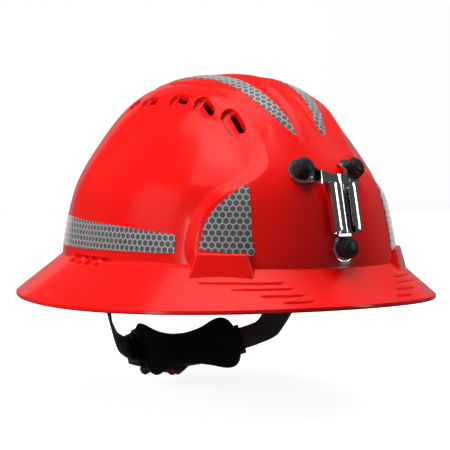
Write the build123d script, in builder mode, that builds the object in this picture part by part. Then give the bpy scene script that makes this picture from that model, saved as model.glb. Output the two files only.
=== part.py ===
from build123d import *

import math
import os

# Full-brim protective helmet with lamp bracket and ratchet harness.
# Millimetres. +Z is up, the front faces -Y and +X is the wearer's left.
# The origin is the middle of the head opening, on the plane of the brim's edge.

# ---------------------------------------------------------------- shell
WALL = 2.6
DOME_HALF_WIDTH = 110.0
DOME_FRONT = 135.0
DOME_REAR = 127.0
CROWN_Z = 152.5
BROW_Z = 26.0  # where the dome meets the brim
BRIM_HALF_WIDTH = 142.0
BRIM_FRONT = 156.0
BRIM_REAR = 161.0
BRIM_DROP = 3.2  # the brim's thickness, measured straight down
LIP_WIDTH = 2.4
LIP_DOWN = 1.6
# dome profile: share of the half width at each share of the dome's height
DOME_STATIONS = [(1.0, 0.0), (0.968, 0.2), (0.908, 0.4), (0.782, 0.6), (0.614, 0.8), (0.413, 0.93), (0.0, 1.0)]

# vents: centre of each opening on the wearer's right, length, heading of the slot
VENT_WIDTH = 5.0
VENTS = [
    ((-43.0, -79.0, 115.0), 18.0, (0.02, -0.72, -0.69)),
    ((-50.5, -57.0, 126.0), 15.0, (-0.08, -0.82, -0.56)),
    ((-57.0, -33.5, 131.0), 11.0, (0.12, -0.97, -0.2)),
    ((-61.0, -6.0, 133.0), 10.0, (0.05, -1.0, 0.05)),
    ((-60.0, 19.0, 131.0), 10.0, (-0.1, -0.98, 0.2)),
]

# accessory slot housings low on the front quarters
SLOT_PLACE = 34.0  # degrees from the front to the middle of the housing
SLOT_HEADING = 44.0  # the way that the housing faces, square to the dome there
SLOT_STAND = 5.5  # how far the housing's foot stands out from the dome
SLOT_SIZE = (27.0, 4.5)

# ---------------------------------------------------------------- reflective film
FILM = 0.4
FILM_GAP = 0.05

# ---------------------------------------------------------------- lamp bracket
BOLT_TOP = (19.0, 85.0)  # half spacing and height of the upper bolts
BOLT_LOW_Z = 38.0
BOLT_RADIUS = 2.4
CHANNEL_WIDTH = 21.5
CHANNEL_DEPTH = 8.0
CHANNEL_HEIGHT = 33.0
CHANNEL_LIP = 7.8
PLATE = 1.4
CHANNEL_BOTTOM_Z = 47.0
CHANNEL_BACK_Y = -134.5
CHANNEL_LEAN = 13.0  # the channel leans back, along the brow

# ---------------------------------------------------------------- harness
PIVOT_Y = 9.0
PIVOT_Z = 26.0
CRADLE_TILT = 32.0  # the nape cradle hangs this far below level
BAND = 1.6
BAND_HALF_WIDTH = 79.2
BAND_FRONT = 108.0
NAPE_DROP = 38.0
ARM_RADIUS = {"left": 83.4, "right": 85.3}  # inner face of each arm
TRAVEL = 13.0  # length that each arm can draw in
PINION_TEETH = 9
MODULE = 1.0
PITCH_RADIUS = MODULE * PINION_TEETH / 2
HOUSING_ANGLE = 35.0  # half of the housing's arc
HOUSING_HALF_HEIGHT = 10.5
CHANNEL_HALF = 8.8
COVER_INNER = 81.2
HOUSING_INNER = 83.0
HOUSING_OUTER = 89.4
KNOB_RADIUS = 13.2
KNOB_BACK = 99.0
PAD_INNER = 76.2
PAD_OUTER = 81.1
STRAP_WIDTH = 19.0
STRAP = 1.3
HOOKS = {"front": (38.0, 44.0), "side": (90.0, 62.0), "rear": (142.0, 44.0)}  # heading, height
BAND_GAP = {"front": 2.6, "side": 0.6}  # between the headband and the legs of its hooks
HOOK_REACH = 10.0  # how far the hooks that carry only webbing stand in from the wall
CROWN_CLEAR_Z = 108.0
WEBBING_STEP = 3.2  # the webbings cross one above the other

os.makedirs("parts", exist_ok=True)
made = []


def finish(part, name):
    """Labels one finished piece and writes it."""
    part.label = name
    export_step(part, f"parts/{name}.step")
    made.append(name)


def dome_points(inset):
    """The dome's profile in the XZ plane, drawn in by inset."""
    across = DOME_HALF_WIDTH - inset
    height = CROWN_Z - BROW_Z
    rise = 1 - inset / height
    return [(across * r, BROW_Z + height * rise * t) for r, t in DOME_STATIONS]


def dome_half(inset, rear, floor):
    """Half of the solid dome, drawn in by inset."""
    stretch = (DOME_REAR if rear else DOME_FRONT) / DOME_HALF_WIDTH
    turn = 0 if rear else 180
    profile = dome_points(inset)
    with BuildPart() as half:
        with BuildSketch(Plane.XZ):
            with BuildLine():
                Line((profile[0][0], floor), profile[0])
                Spline(*profile, tangents=[(-0.06, 1), (-1, 0)])
                Polyline(profile[-1], (0, floor), (profile[0][0], floor))
            make_face()
        revolve(axis=Axis.Z, revolution_arc=180)
    return scale(half.part.rotate(Axis.Z, turn), by=(1, stretch, 1), mode=Mode.PRIVATE)


def dome(inset, floor=BROW_Z - 1):
    """The whole solid dome, whose front and rear halves differ in length."""
    with BuildPart() as whole:
        add(dome_half(inset, True, floor))
        add(dome_half(inset, False, floor))
    return whole.part


def oval(half_width, front, rear):
    """An egg-shaped face of two half ellipses."""
    with BuildSketch() as egg:
        with BuildLine():
            EllipticalCenterArc((0, 0), half_width, rear, start_angle=0, arc_size=180)
            EllipticalCenterArc((0, 0), half_width, front, start_angle=180, arc_size=180)
        make_face()
    return egg.sketch


def brim_cone(drop):
    """The solid below the brim's upper surface, lowered by drop."""
    slope = BROW_Z
    over = drop / slope
    with BuildPart() as cone:
        with BuildSketch(Plane.XY.offset(BROW_Z)):
            add(
                oval(
                    DOME_HALF_WIDTH - over * (BRIM_HALF_WIDTH - DOME_HALF_WIDTH),
                    DOME_FRONT - over * (BRIM_FRONT - DOME_FRONT),
                    DOME_REAR - over * (BRIM_REAR - DOME_REAR),
                )
            )
        with BuildSketch(Plane.XY.offset(-drop)):
            add(oval(BRIM_HALF_WIDTH, BRIM_FRONT, BRIM_REAR))
        loft(ruled=True)
    return cone.part


def ellipsoid_normal(x, y, z):
    """Outward direction of the dome near a point on it."""
    length = DOME_REAR if y > 0 else DOME_FRONT
    height = CROWN_Z - BROW_Z
    return Vector(x / DOME_HALF_WIDTH**2, y / length**2, (z - BROW_Z) / height**2).normalized()


def dome_share(z):
    """Share of the half width that the dome keeps at a height."""
    t = (z - BROW_Z) / (CROWN_Z - BROW_Z)
    return next(
        r0 + (r1 - r0) * (t - t0) / (t1 - t0)
        for (r0, t0), (r1, t1) in zip(DOME_STATIONS, DOME_STATIONS[1:])
        if t0 <= t <= t1
    )


def wall_reach(angle, z):
    """Distance from the axis to the dome's inner face at an angle from the front."""
    a = math.radians(angle)
    length = DOME_FRONT if math.cos(a) > 0 else DOME_REAR
    reach = 1 / math.hypot(math.sin(a) / DOME_HALF_WIDTH, math.cos(a) / length)
    return dome_share(z) * reach - WALL


def heading_plane(angle, reach, z):
    """A plane that faces out of the dome at an angle from the front; its y is up."""
    a = math.radians(angle)
    out = Vector(math.sin(a), -math.cos(a), 0)
    across = Vector(math.cos(a), math.sin(a), 0)
    return Plane(origin=out * reach + Vector(0, 0, z), x_dir=across, z_dir=out)


def slot_plane(side, depth, z):
    """An upright plane that faces out of a slot housing, depth in from its foot's face."""
    place = math.radians(SLOT_PLACE)
    reach = 1 / math.hypot(math.sin(place) / DOME_HALF_WIDTH, math.cos(place) / DOME_FRONT)
    facing = heading_plane(side * SLOT_HEADING, SLOT_STAND - depth, z)
    foot = Vector(side * reach * math.sin(place), -reach * math.cos(place), 0)
    return Plane(facing.origin + foot, x_dir=facing.x_dir, z_dir=facing.z_dir)


def slot_housing(side, gap=0.0):
    """The wedge that covers one accessory slot, grown by gap."""
    with BuildPart() as wedge:
        for z, width, back in ((16.0, 43.0, 0.0), (35.5 + gap, 31.0, 4.5)):
            base = slot_plane(side, back - gap, z)
            depth = 16.0
            with BuildSketch(Plane(base.origin - base.z_dir * depth / 2, x_dir=base.x_dir, z_dir=(0, 0, 1))):
                Rectangle(width + 2 * gap, depth)
        loft(ruled=True)
    return wedge.part


def bolt_planes():
    """The planes of the three bracket bolts, each facing out of the shell."""
    half, high = BOLT_TOP
    planes = []
    for x, z in ((-half, high), (half, high), (0.0, BOLT_LOW_Z)):
        share = dome_share(z)
        y = -DOME_FRONT * share * math.sqrt(1 - (x / (DOME_HALF_WIDTH * share)) ** 2)
        out = ellipsoid_normal(x, y, z)
        planes.append(Plane(origin=(x, y, z), x_dir=(0, 0, 1), z_dir=out))
    return planes


def socket_reach(place):
    """Distance from the axis to the wall behind a hook's socket."""
    angle, z = HOOKS[place]
    skew = 1.2 if place == "front" else 0.0  # the wall isn't square to the hook there
    return wall_reach(angle, z + 10) - skew


def make_sockets():
    """Pockets on the inner wall, open at the bottom, that the hooks plug into."""
    with BuildPart() as sockets:
        for place, (angle, z) in HOOKS.items():
            for side in (-1, 1):
                reach = socket_reach(place)
                with BuildSketch(heading_plane(side * angle, reach - 5.2, z + 5)):
                    Rectangle(23, 16)
                extrude(amount=14)
                with BuildSketch(heading_plane(side * angle, reach - 3.6, z + 3)):
                    Rectangle(17.4, 16)
                extrude(amount=2.4, mode=Mode.SUBTRACT)
        add(dome(0.6), mode=Mode.INTERSECT)
    return sockets.part


def make_shell():
    """Dome, brim, lip, slot housings, vents, bolt holes and harness sockets."""
    cavity = dome(WALL, floor=BROW_Z - 3)
    with BuildPart() as shell:
        add(dome(0))
        add(brim_cone(0))
        for side in (-1, 1):
            add(slot_housing(side))
        add(cavity, mode=Mode.SUBTRACT)
        add(brim_cone(BRIM_DROP), mode=Mode.SUBTRACT)
        with BuildSketch(Plane.XY.offset(-BRIM_DROP - LIP_DOWN)):
            add(oval(BRIM_HALF_WIDTH, BRIM_FRONT, BRIM_REAR))
            add(
                oval(BRIM_HALF_WIDTH - LIP_WIDTH, BRIM_FRONT - LIP_WIDTH, BRIM_REAR - LIP_WIDTH),
                mode=Mode.SUBTRACT,
            )
        extrude(amount=BRIM_DROP + LIP_DOWN)
        # accessory slots, open from below
        for side in (-1, 1):
            with BuildSketch(slot_plane(side, 4.5 + 1.8 + SLOT_SIZE[1], 24.5)):
                Rectangle(SLOT_SIZE[0], 18)
            extrude(amount=SLOT_SIZE[1], mode=Mode.SUBTRACT)
        # rain gutters above the brim at the sides
        with Locations((-113.2, -5, 26.5), (113.2, -5, 26.5)):
            Box(6.0, 46, 5.0, mode=Mode.SUBTRACT)
        for centre, length, heading in VENTS:
            for side in (1, -1):
                x, y, z = centre
                spot = Vector(x * side, y, z)
                out = ellipsoid_normal(*spot)
                along = Vector(heading[0] * side, heading[1], heading[2])
                along = (along - out * along.dot(out)).normalized()
                with BuildSketch(Plane(origin=spot - out * 9, x_dir=along, z_dir=out)):
                    SlotOverall(length, VENT_WIDTH)
                extrude(amount=18, mode=Mode.SUBTRACT)
        for plane in bolt_planes():
            with BuildSketch(plane.offset(-8)):
                Circle(BOLT_RADIUS)
            extrude(amount=14, mode=Mode.SUBTRACT)
        add(make_sockets())
        with BuildSketch(clip_plane()):
            Circle(1.75)
        extrude(amount=12, both=True, mode=Mode.SUBTRACT)
    finish(shell.part, "shell")
    return shell.part


def mirrored_pair(part, name):
    """Writes a piece of the wearer's right and its mirror image on the left."""
    finish(part, f"{name}_right")
    with BuildPart() as other:
        add(part)
        mirror(about=Plane.YZ, mode=Mode.REPLACE)
    finish(other.part, f"{name}_left")


def make_film():
    """Reflective film: crown strips, front quarter patches and side bands."""
    with BuildPart() as film:
        add(dome(-FILM_GAP - FILM))
        add(dome(-FILM_GAP, floor=BROW_Z - 2), mode=Mode.SUBTRACT)
    skin = film.part
    with BuildPart() as strip:
        with BuildSketch(Plane.XY.offset(60)):
            with BuildLine():
                Spline((-9.5, -99), (-14.5, -72), (-20, -36), (-20.5, 0), (-17, 42), (-10.5, 84))
                Line((-10.5, 84), (-18.5, 84))
                Spline((-18.5, 84), (-27, 42), (-31, 0), (-30.5, -36), (-25.5, -76), (-16, -95))
                Line((-16, -95), (-9.5, -99))
            make_face()
        extrude(amount=120)
        add(skin, mode=Mode.INTERSECT)
    mirrored_pair(strip.part, "crown_strip")

    with BuildPart() as patch:
        with BuildSketch(heading_plane(-34.0, 60, 0)):
            with BuildLine():
                Polyline((15.5, 76), (18.5, 34), (-13, 38), (-11, 50))
                Spline((-11, 50), (-2.5, 64.5), (12, 77))
                Line((12, 77), (15.5, 76))
            make_face()
        extrude(amount=90)
        add(skin, mode=Mode.INTERSECT)
        add(slot_housing(-1, 0.3), mode=Mode.SUBTRACT)
    mirrored_pair(patch.part, "front_patch")

    with BuildPart() as band:
        with BuildSketch(Plane.YZ.offset(-130)):
            with BuildLine():
                Spline((-76, 46.5), (-40, 49.5), (11, 52.5), (118, 56))
                Line((118, 56), (118, 36))
                Spline((118, 36), (11, 33.5), (-44, 33.8), (-77, 34))
                Line((-77, 34), (-76, 46.5))
            make_face()
        extrude(amount=126)
        add(skin, mode=Mode.INTERSECT)
        add(slot_housing(-1, 0.3), mode=Mode.SUBTRACT)
    mirrored_pair(band.part, "side_band")


def make_bracket():
    """Lamp bracket: a C channel whose ears bend back to the shell."""
    planes = bolt_planes()
    lean = math.radians(CHANNEL_LEAN)
    up = Vector(0, math.sin(lean), math.cos(lean))
    foot = Plane(origin=(0, CHANNEL_BACK_Y, CHANNEL_BOTTOM_Z), x_dir=(1, 0, 0), z_dir=up)
    middle = -CHANNEL_DEPTH / 2
    half = CHANNEL_WIDTH / 2
    with BuildPart() as bracket:
        with BuildSketch(foot):
            with Locations((0, -PLATE / 2)):
                Rectangle(CHANNEL_WIDTH, PLATE)
            for side in (-1, 1):
                with Locations((side * (half - PLATE / 2), middle)):
                    Rectangle(PLATE, CHANNEL_DEPTH)
                with Locations((side * (half - CHANNEL_LIP / 2), PLATE / 2 - CHANNEL_DEPTH)):
                    Rectangle(CHANNEL_LIP, PLATE)
        extrude(amount=CHANNEL_HEIGHT)
        # floor that stops the lamp's blade
        with BuildSketch(foot):
            with Locations((0, middle)):
                Rectangle(CHANNEL_WIDTH, CHANNEL_DEPTH)
        extrude(amount=PLATE)
        # ears: pads on the shell, joined to the channel's back plate
        for plane in planes:
            with BuildSketch(plane.offset(1.0)):
                Circle(8.6)
            extrude(amount=PLATE)
        for plane in planes[:2]:
            side = math.copysign(1, plane.origin.X)
            root = foot.from_local_coords(Vector(side * 7.5, -PLATE / 2, CHANNEL_HEIGHT - 4.0))
            with BuildSketch(plane.offset(1.0)):
                Rectangle(15, 2.0)
            with BuildSketch(Plane(origin=root, x_dir=up, z_dir=(-side, -0.25, 0))):
                Rectangle(13, PLATE)
            loft()
        low = planes[2]
        with BuildSketch(low.offset(1.1)):
            Rectangle(2.0, 12)
        root = foot.from_local_coords(Vector(0, -PLATE / 2, 0.8))
        with BuildSketch(Plane(origin=root, x_dir=foot.y_dir, z_dir=up)):
            Rectangle(PLATE - 0.4, 12)
        loft()
        for plane in planes:
            with BuildSketch(plane.offset(-2)):
                Circle(BOLT_RADIUS + 0.1)
            extrude(amount=6, mode=Mode.SUBTRACT)
            with BuildSketch(plane.offset(1.0 + PLATE)):
                Circle(7.6)
            extrude(amount=10, mode=Mode.SUBTRACT)
    finish(bracket.part, "lamp_bracket")

    with BuildPart() as bolts:
        for plane in planes:
            with BuildSketch(plane.offset(-5.6)):
                Circle(BOLT_RADIUS - 0.1)
            extrude(amount=5.6 + 7.0)
    finish(bolts.part, "bracket_bolts")

    with BuildPart() as washers:
        for plane in planes:
            with BuildSketch(plane.offset(2.45)):
                Circle(6.9)
                Circle(BOLT_RADIUS + 0.05, mode=Mode.SUBTRACT)
            extrude(amount=0.9)
    finish(washers.part, "bracket_washers")

    with BuildPart() as caps:
        for plane in planes:
            with BuildSketch(plane.offset(3.4)):
                RegularPolygon(radius=7.1, side_count=6)
            extrude(amount=5.2)
            with BuildSketch(plane.offset(8.6)):
                Circle(5.9)
            with BuildSketch(plane.offset(11.2)):
                Circle(2.2)
            loft()
            with BuildSketch(plane.offset(3.3)):
                Circle(BOLT_RADIUS)
            extrude(amount=4.0, mode=Mode.SUBTRACT)
    finish(caps.part, "bolt_caps")

    with BuildPart() as nuts:
        for plane in planes:
            with BuildSketch(plane.offset(-5.8)):
                RegularPolygon(radius=5.2, side_count=6)
                Circle(BOLT_RADIUS, mode=Mode.SUBTRACT)
            extrude(amount=2.6)
    finish(nuts.part, "bracket_nuts")


def clip_plane():
    """The plane, facing back, of the rivet that holds the cable clip."""
    return Plane(origin=(0, DOME_REAR * dome_share(44), 47), x_dir=(1, 0, 0), z_dir=(0, 1, 0))


def make_cable_clip():
    """The hook at the back that holds a lamp's cable, and its screw."""
    face = DOME_REAR * dome_share(44)
    with BuildPart() as clip:
        with BuildSketch(Plane.YZ.offset(-7)):
            with BuildLine():
                Polyline(
                    (face - 5, 36), (face - 5, 54), (face + 2, 54), (face + 3, 42), (face + 9, 42),
                    (face + 9, 51), (face + 11, 51), (face + 11, 40), (face + 4, 36), close=True,
                )
            make_face()
        extrude(amount=14)
        add(dome(-0.05), mode=Mode.SUBTRACT)
        with BuildSketch(clip_plane()):
            Circle(1.75)
        extrude(amount=12, both=True, mode=Mode.SUBTRACT)
    finish(clip.part, "cable_clip")

    with BuildPart() as rivet:
        with BuildSketch(clip_plane().offset(-4.5)):
            Circle(1.65)
        extrude(amount=8.5)
        for level in (-4.9, 3.3):
            with BuildSketch(clip_plane().offset(level)):
                Circle(2.9)
            extrude(amount=1.0)
    finish(rivet.part, "cable_clip_rivet")


def band_reach(angle):
    """Distance from the axis to the headband's outer face at an angle from the front."""
    a = math.radians(angle)
    near, far = 40.0, 130.0
    for _ in range(40):
        mid = (near + far) / 2
        x, y = mid * math.sin(a), -mid * math.cos(a)
        inside = math.hypot(x / BAND_HALF_WIDTH, (y - PIVOT_Y) / BAND_FRONT) < 1
        near, far = (mid, far) if inside else (near, mid)
    return near


def leg_reach(place):
    """Distance from the axis to the inner face of a hook's leg."""
    angle = HOOKS[place][0]
    if place == "rear":
        return socket_reach(place) - 3.4 - HOOK_REACH
    return band_reach(angle) + BAND_GAP[place]


def make_hooks():
    """Six hooks that plug into the shell's sockets and carry webbing and headband."""
    for place, (angle, z) in HOOKS.items():
        wall = socket_reach(place) - 3.4
        leg = leg_reach(place)
        for word, side in (("left", 1), ("right", -1)):
            a = math.radians(side * angle)
            out = Vector(math.sin(a), -math.cos(a), 0)
            across = Vector(-math.cos(a), -math.sin(a), 0)
            with BuildPart() as hook:
                with BuildSketch(Plane(origin=across * -8.0, x_dir=out, z_dir=across)):
                    with BuildLine():
                        Polyline(
                            (wall, z + 10), (wall + 2, z + 10), (wall + 2, z - 8.5), (leg, z - 8.5), (leg, z + 8),
                            (leg + 2, z + 8), (leg + 2, z - 6), (wall, z - 6), close=True,
                        )
                    make_face()
                extrude(amount=16)
                with BuildSketch(heading_plane(side * angle, leg - 1, z + 3)):
                    Circle(1.8)
                extrude(amount=4, mode=Mode.SUBTRACT)
            finish(hook.part, f"hook_{place}_{word}")

    with BuildPart() as studs:
        for place, (angle, z) in HOOKS.items():
            leg = leg_reach(place)
            tail = leg - 0.1 if place == "rear" else band_reach(angle) - BAND - 1.0
            for side in (-1, 1):
                with BuildSketch(heading_plane(side * angle, tail, z + 3)):
                    Circle(1.7)
                extrude(amount=leg + 2.2 + STRAP - tail)
                for face in (tail - 1.0, leg + 2.2 + STRAP):
                    with BuildSketch(heading_plane(side * angle, face, z + 3)):
                        Circle(3.2)
                    extrude(amount=1.0)
    finish(studs.part, "hook_studs")


def make_webbing():
    """Three straps that cross over the head, and the pad and rivet where they cross."""
    runs = (
        ("side", "side", 1, "webbing_side"),
        ("front", "rear", 1, "webbing_cross_a"),
        ("front", "rear", -1, "webbing_cross_b"),
    )
    for step, (start, end, side, name) in enumerate(runs):
        ends = []
        for place, hand in ((start, side), (end, -side)):
            angle, z = HOOKS[place]
            a = math.radians(hand * angle)
            reach = leg_reach(place) + 2.1 + STRAP / 2
            ends.append((Vector(reach * math.sin(a), -reach * math.cos(a), 0), z))
        (first, z0), (last, z1) = ends
        along = (last - first).normalized()
        across = Vector(0, 0, 1).cross(along)
        base = first - along * first.dot(along)
        a0, a1 = first.dot(along), last.dot(along)
        top = CROWN_CLEAR_Z + step * WEBBING_STEP
        with BuildPart() as strap:
            with BuildSketch(Plane(origin=base, x_dir=along, z_dir=-across)):
                with BuildLine() as path:
                    low = Line((a0, z0 - 5.5), (a0, z0 + 8))
                    high = Line((a1, z1 + 8), (a1, z1 - 5.5))
                    Spline(low @ 1, (0, top), high @ 0, tangents=[(0.2, 1), (1, 0), (0.2, -1)])
                trace(line_width=STRAP)
            extrude(amount=STRAP_WIDTH / 2, both=True)
            for point, z in ((first, z0), (last, z1)):
                with BuildSketch(Plane(origin=point - point.normalized() * 3 + Vector(0, 0, z + 3), z_dir=point)):
                    Circle(1.8)
                extrude(amount=6, mode=Mode.SUBTRACT)
            with Locations((0, 0, top)):
                Cylinder(2.1, 8, mode=Mode.SUBTRACT)
        finish(strap.part, name)

    with BuildPart() as pad:
        with BuildSketch(Plane.XY.offset(CROWN_CLEAR_Z - 5.6)):
            Circle(27)
            Circle(2.1, mode=Mode.SUBTRACT)
        extrude(amount=3)
        fillet(pad.edges().filter_by(GeomType.CIRCLE).sort_by(SortBy.RADIUS)[-2:], 1.2)
    finish(pad.part, "crown_pad")

    bottom = CROWN_CLEAR_Z - 5.6
    reach_up = 3.0 + 2.3 + 2 * WEBBING_STEP + STRAP + 1.0
    with BuildPart() as rivet:
        with BuildSketch(Plane.XY.offset(bottom)):
            Circle(2.0)
        extrude(amount=reach_up)
        for z in (bottom - 1.0, bottom + reach_up):
            with BuildSketch(Plane.XY.offset(z)):
                Circle(5.0)
            extrude(amount=1.0)
    finish(rivet.part, "crown_rivet")


def band_ring(gap, thickness):
    """The flat ring that lies gap inside the headband's outer face."""
    with BuildSketch() as ring:
        with Locations((0, PIVOT_Y)):
            Ellipse(BAND_HALF_WIDTH - gap, BAND_FRONT - gap)
            Ellipse(BAND_HALF_WIDTH - gap - thickness, BAND_FRONT - gap - thickness, mode=Mode.SUBTRACT)
    return ring.sketch


def band_tab(angle, top):
    """An ear that rises from the headband to a hook."""
    with BuildPart() as tab:
        with BuildSketch(Plane.XY.offset(30)):
            add(band_ring(0, BAND))
        extrude(amount=top - 30)
        with BuildSketch(heading_plane(angle, 60, top - 15)):
            Rectangle(17, 60)
        extrude(amount=50, mode=Mode.INTERSECT)
    return tab.part


def make_headband():
    """The plastic band round the front of the head, its sweatband and temple pins."""
    with BuildPart() as headband:
        with BuildSketch(Plane.XY.offset(8)):
            add(band_ring(0, BAND))
            with Locations((0, 84)):
                Rectangle(200, 100, mode=Mode.SUBTRACT)
        extrude(amount=30)
        for place in ("front", "side"):
            angle, z = HOOKS[place]
            for side in (-1, 1):
                add(band_tab(side * angle, z + 9))
                with BuildSketch(heading_plane(side * angle, 60, z + 3)):
                    Circle(1.8)
                extrude(amount=50, mode=Mode.SUBTRACT)
        with BuildSketch(Plane.YZ):
            with Locations((PIVOT_Y, PIVOT_Z)):
                Circle(3.0)
        extrude(amount=100, both=True, mode=Mode.SUBTRACT)
    finish(headband.part, "headband")

    with BuildPart() as sweatband:
        with BuildSketch(Plane.XY.offset(6.5)):
            add(band_ring(BAND + 1.1, 3.4))
            with Locations((0, 100)):
                Rectangle(200, 210, mode=Mode.SUBTRACT)
        extrude(amount=33)
    finish(sweatband.part, "sweatband")

    for word, side in (("left", 1), ("right", -1)):
        with BuildPart() as pin:
            inner = BAND_HALF_WIDTH - BAND - 0.2
            with BuildSketch(Plane((side * inner, PIVOT_Y, PIVOT_Z), x_dir=(0, 1, 0), z_dir=(side, 0, 0))):
                Circle(2.9)
            extrude(amount=BAND + 8.4)
            for x, radius, tall in ((inner - 1.2, 5.0, 1.2), (BAND_HALF_WIDTH + 8.2, 5.4, 1.3)):
                with BuildSketch(Plane((side * x, PIVOT_Y, PIVOT_Z), x_dir=(0, 1, 0), z_dir=(side, 0, 0))):
                    Circle(radius)
                extrude(amount=tall)
        finish(pin.part, f"temple_pin_{word}")


TILT = math.radians(CRADLE_TILT)
CRADLE = Plane(
    origin=(0, PIVOT_Y, PIVOT_Z),
    x_dir=(1, 0, 0),
    z_dir=(0, math.sin(TILT), math.cos(TILT)),
)


def nape_plane(angle, reach, drop):
    """A plane that faces back out of the cradle; drop is measured below the pivots."""
    a = math.radians(angle)
    out = CRADLE.x_dir * math.sin(a) + CRADLE.y_dir * math.cos(a)
    across = CRADLE.x_dir * math.cos(a) - CRADLE.y_dir * math.sin(a)
    return Plane(origin=CRADLE.origin + out * reach - CRADLE.z_dir * drop, x_dir=across, z_dir=out)


def arc_band(inner, outer, first, last):
    """A sector of a ring round the pivots, between two angles from the back."""
    with BuildSketch() as sector:
        with BuildLine():
            far = CenterArc((0, 0), outer, 90 - last, last - first)
            near = CenterArc((0, 0), inner, 90 - last, last - first)
            Line(far @ 0, near @ 0)
            Line(far @ 1, near @ 1)
        make_face()
    return sector.sketch


LUGS = [(angle, lift) for angle in (-25.0, 25.0) for lift in (-14.0, 14.0)]


def make_cradle():
    """The nape housing, its cover, the screws, the detent ring and the pad."""
    channel_back = ARM_RADIUS["right"] + BAND + 0.3
    with BuildPart() as housing:
        with BuildSketch(CRADLE.offset(-NAPE_DROP - HOUSING_HALF_HEIGHT)):
            add(arc_band(HOUSING_INNER, HOUSING_OUTER, -HOUSING_ANGLE, HOUSING_ANGLE))
        extrude(amount=2 * HOUSING_HALF_HEIGHT)
        for angle, lift in LUGS:
            with BuildSketch(nape_plane(angle, HOUSING_INNER + 0.4, NAPE_DROP - lift)):
                Circle(3.8)
            extrude(amount=4.0)
        with BuildSketch(nape_plane(0, HOUSING_OUTER - 1, NAPE_DROP)):
            Circle(11.6)
        extrude(amount=1.6)
        with BuildSketch(CRADLE.offset(-NAPE_DROP - CHANNEL_HALF)):
            add(arc_band(HOUSING_INNER - 1, channel_back, -HOUSING_ANGLE - 1, HOUSING_ANGLE + 1))
        extrude(amount=2 * CHANNEL_HALF, mode=Mode.SUBTRACT)
        # detent ring round the knob's shaft
        with BuildSketch(nape_plane(0, HOUSING_OUTER, NAPE_DROP)):
            Circle(9.6)
            Circle(7.6, mode=Mode.SUBTRACT)
            with PolarLocations(7.6, 18):
                Circle(0.7, mode=Mode.SUBTRACT)
        extrude(amount=3.4)
        with BuildSketch(nape_plane(0, HOUSING_INNER, NAPE_DROP)):
            Circle(3.26)
        extrude(amount=12, mode=Mode.SUBTRACT)
        for angle, lift in LUGS:
            with BuildSketch(nape_plane(angle, HOUSING_INNER, NAPE_DROP - lift)):
                Circle(1.5)
            extrude(amount=6, mode=Mode.SUBTRACT)
    finish(housing.part, "ratchet_housing")

    with BuildPart() as cover:
        with BuildSketch(CRADLE.offset(-NAPE_DROP - HOUSING_HALF_HEIGHT)):
            add(arc_band(COVER_INNER, HOUSING_INNER - 0.02, -HOUSING_ANGLE, HOUSING_ANGLE))
        extrude(amount=2 * HOUSING_HALF_HEIGHT)
        for angle, lift in LUGS:
            with BuildSketch(nape_plane(angle, COVER_INNER + 0.4, NAPE_DROP - lift)):
                Circle(3.8)
            extrude(amount=1.25)
        with BuildSketch(nape_plane(0, COVER_INNER - 2, NAPE_DROP)):
            Circle(3.6)
        extrude(amount=6, mode=Mode.SUBTRACT)
        for angle, lift in LUGS:
            with BuildSketch(nape_plane(angle, COVER_INNER - 1, NAPE_DROP - lift)):
                Circle(1.5)
            extrude(amount=6, mode=Mode.SUBTRACT)
    finish(cover.part, "ratchet_cover")

    with BuildPart() as screws:
        for angle, lift in LUGS:
            with BuildSketch(nape_plane(angle, COVER_INNER + 0.4, NAPE_DROP - lift)):
                Circle(1.4)
            extrude(amount=6.2)
            with BuildSketch(nape_plane(angle, HOUSING_INNER + 4.4, NAPE_DROP - lift)):
                Circle(2.7)
            extrude(amount=1.4)
            with BuildSketch(nape_plane(angle, HOUSING_INNER + 5.2, NAPE_DROP - lift)):
                Rectangle(3.6, 0.7)
            extrude(amount=2, mode=Mode.SUBTRACT)
    finish(screws.part, "housing_screws")

    with BuildPart() as pad:
        with BuildSketch(CRADLE.offset(-NAPE_DROP - 22)):
            add(arc_band(PAD_INNER, PAD_OUTER, -HOUSING_ANGLE - 1, HOUSING_ANGLE + 1))
        extrude(amount=44)
        with BuildSketch(nape_plane(0, 40, NAPE_DROP)):
            with BuildLine():
                upper = Spline((-45, 13), (-33, 19), (0, 12), (33, 19), (45, 13))
                lower = Spline((-45, -13), (-33, -19), (0, -12), (33, -19), (45, -13))
                Line(upper @ 0, lower @ 0)
                Line(upper @ 1, lower @ 1)
            make_face()
        extrude(amount=60, mode=Mode.INTERSECT)
    finish(pad.part, "nape_pad")


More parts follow.
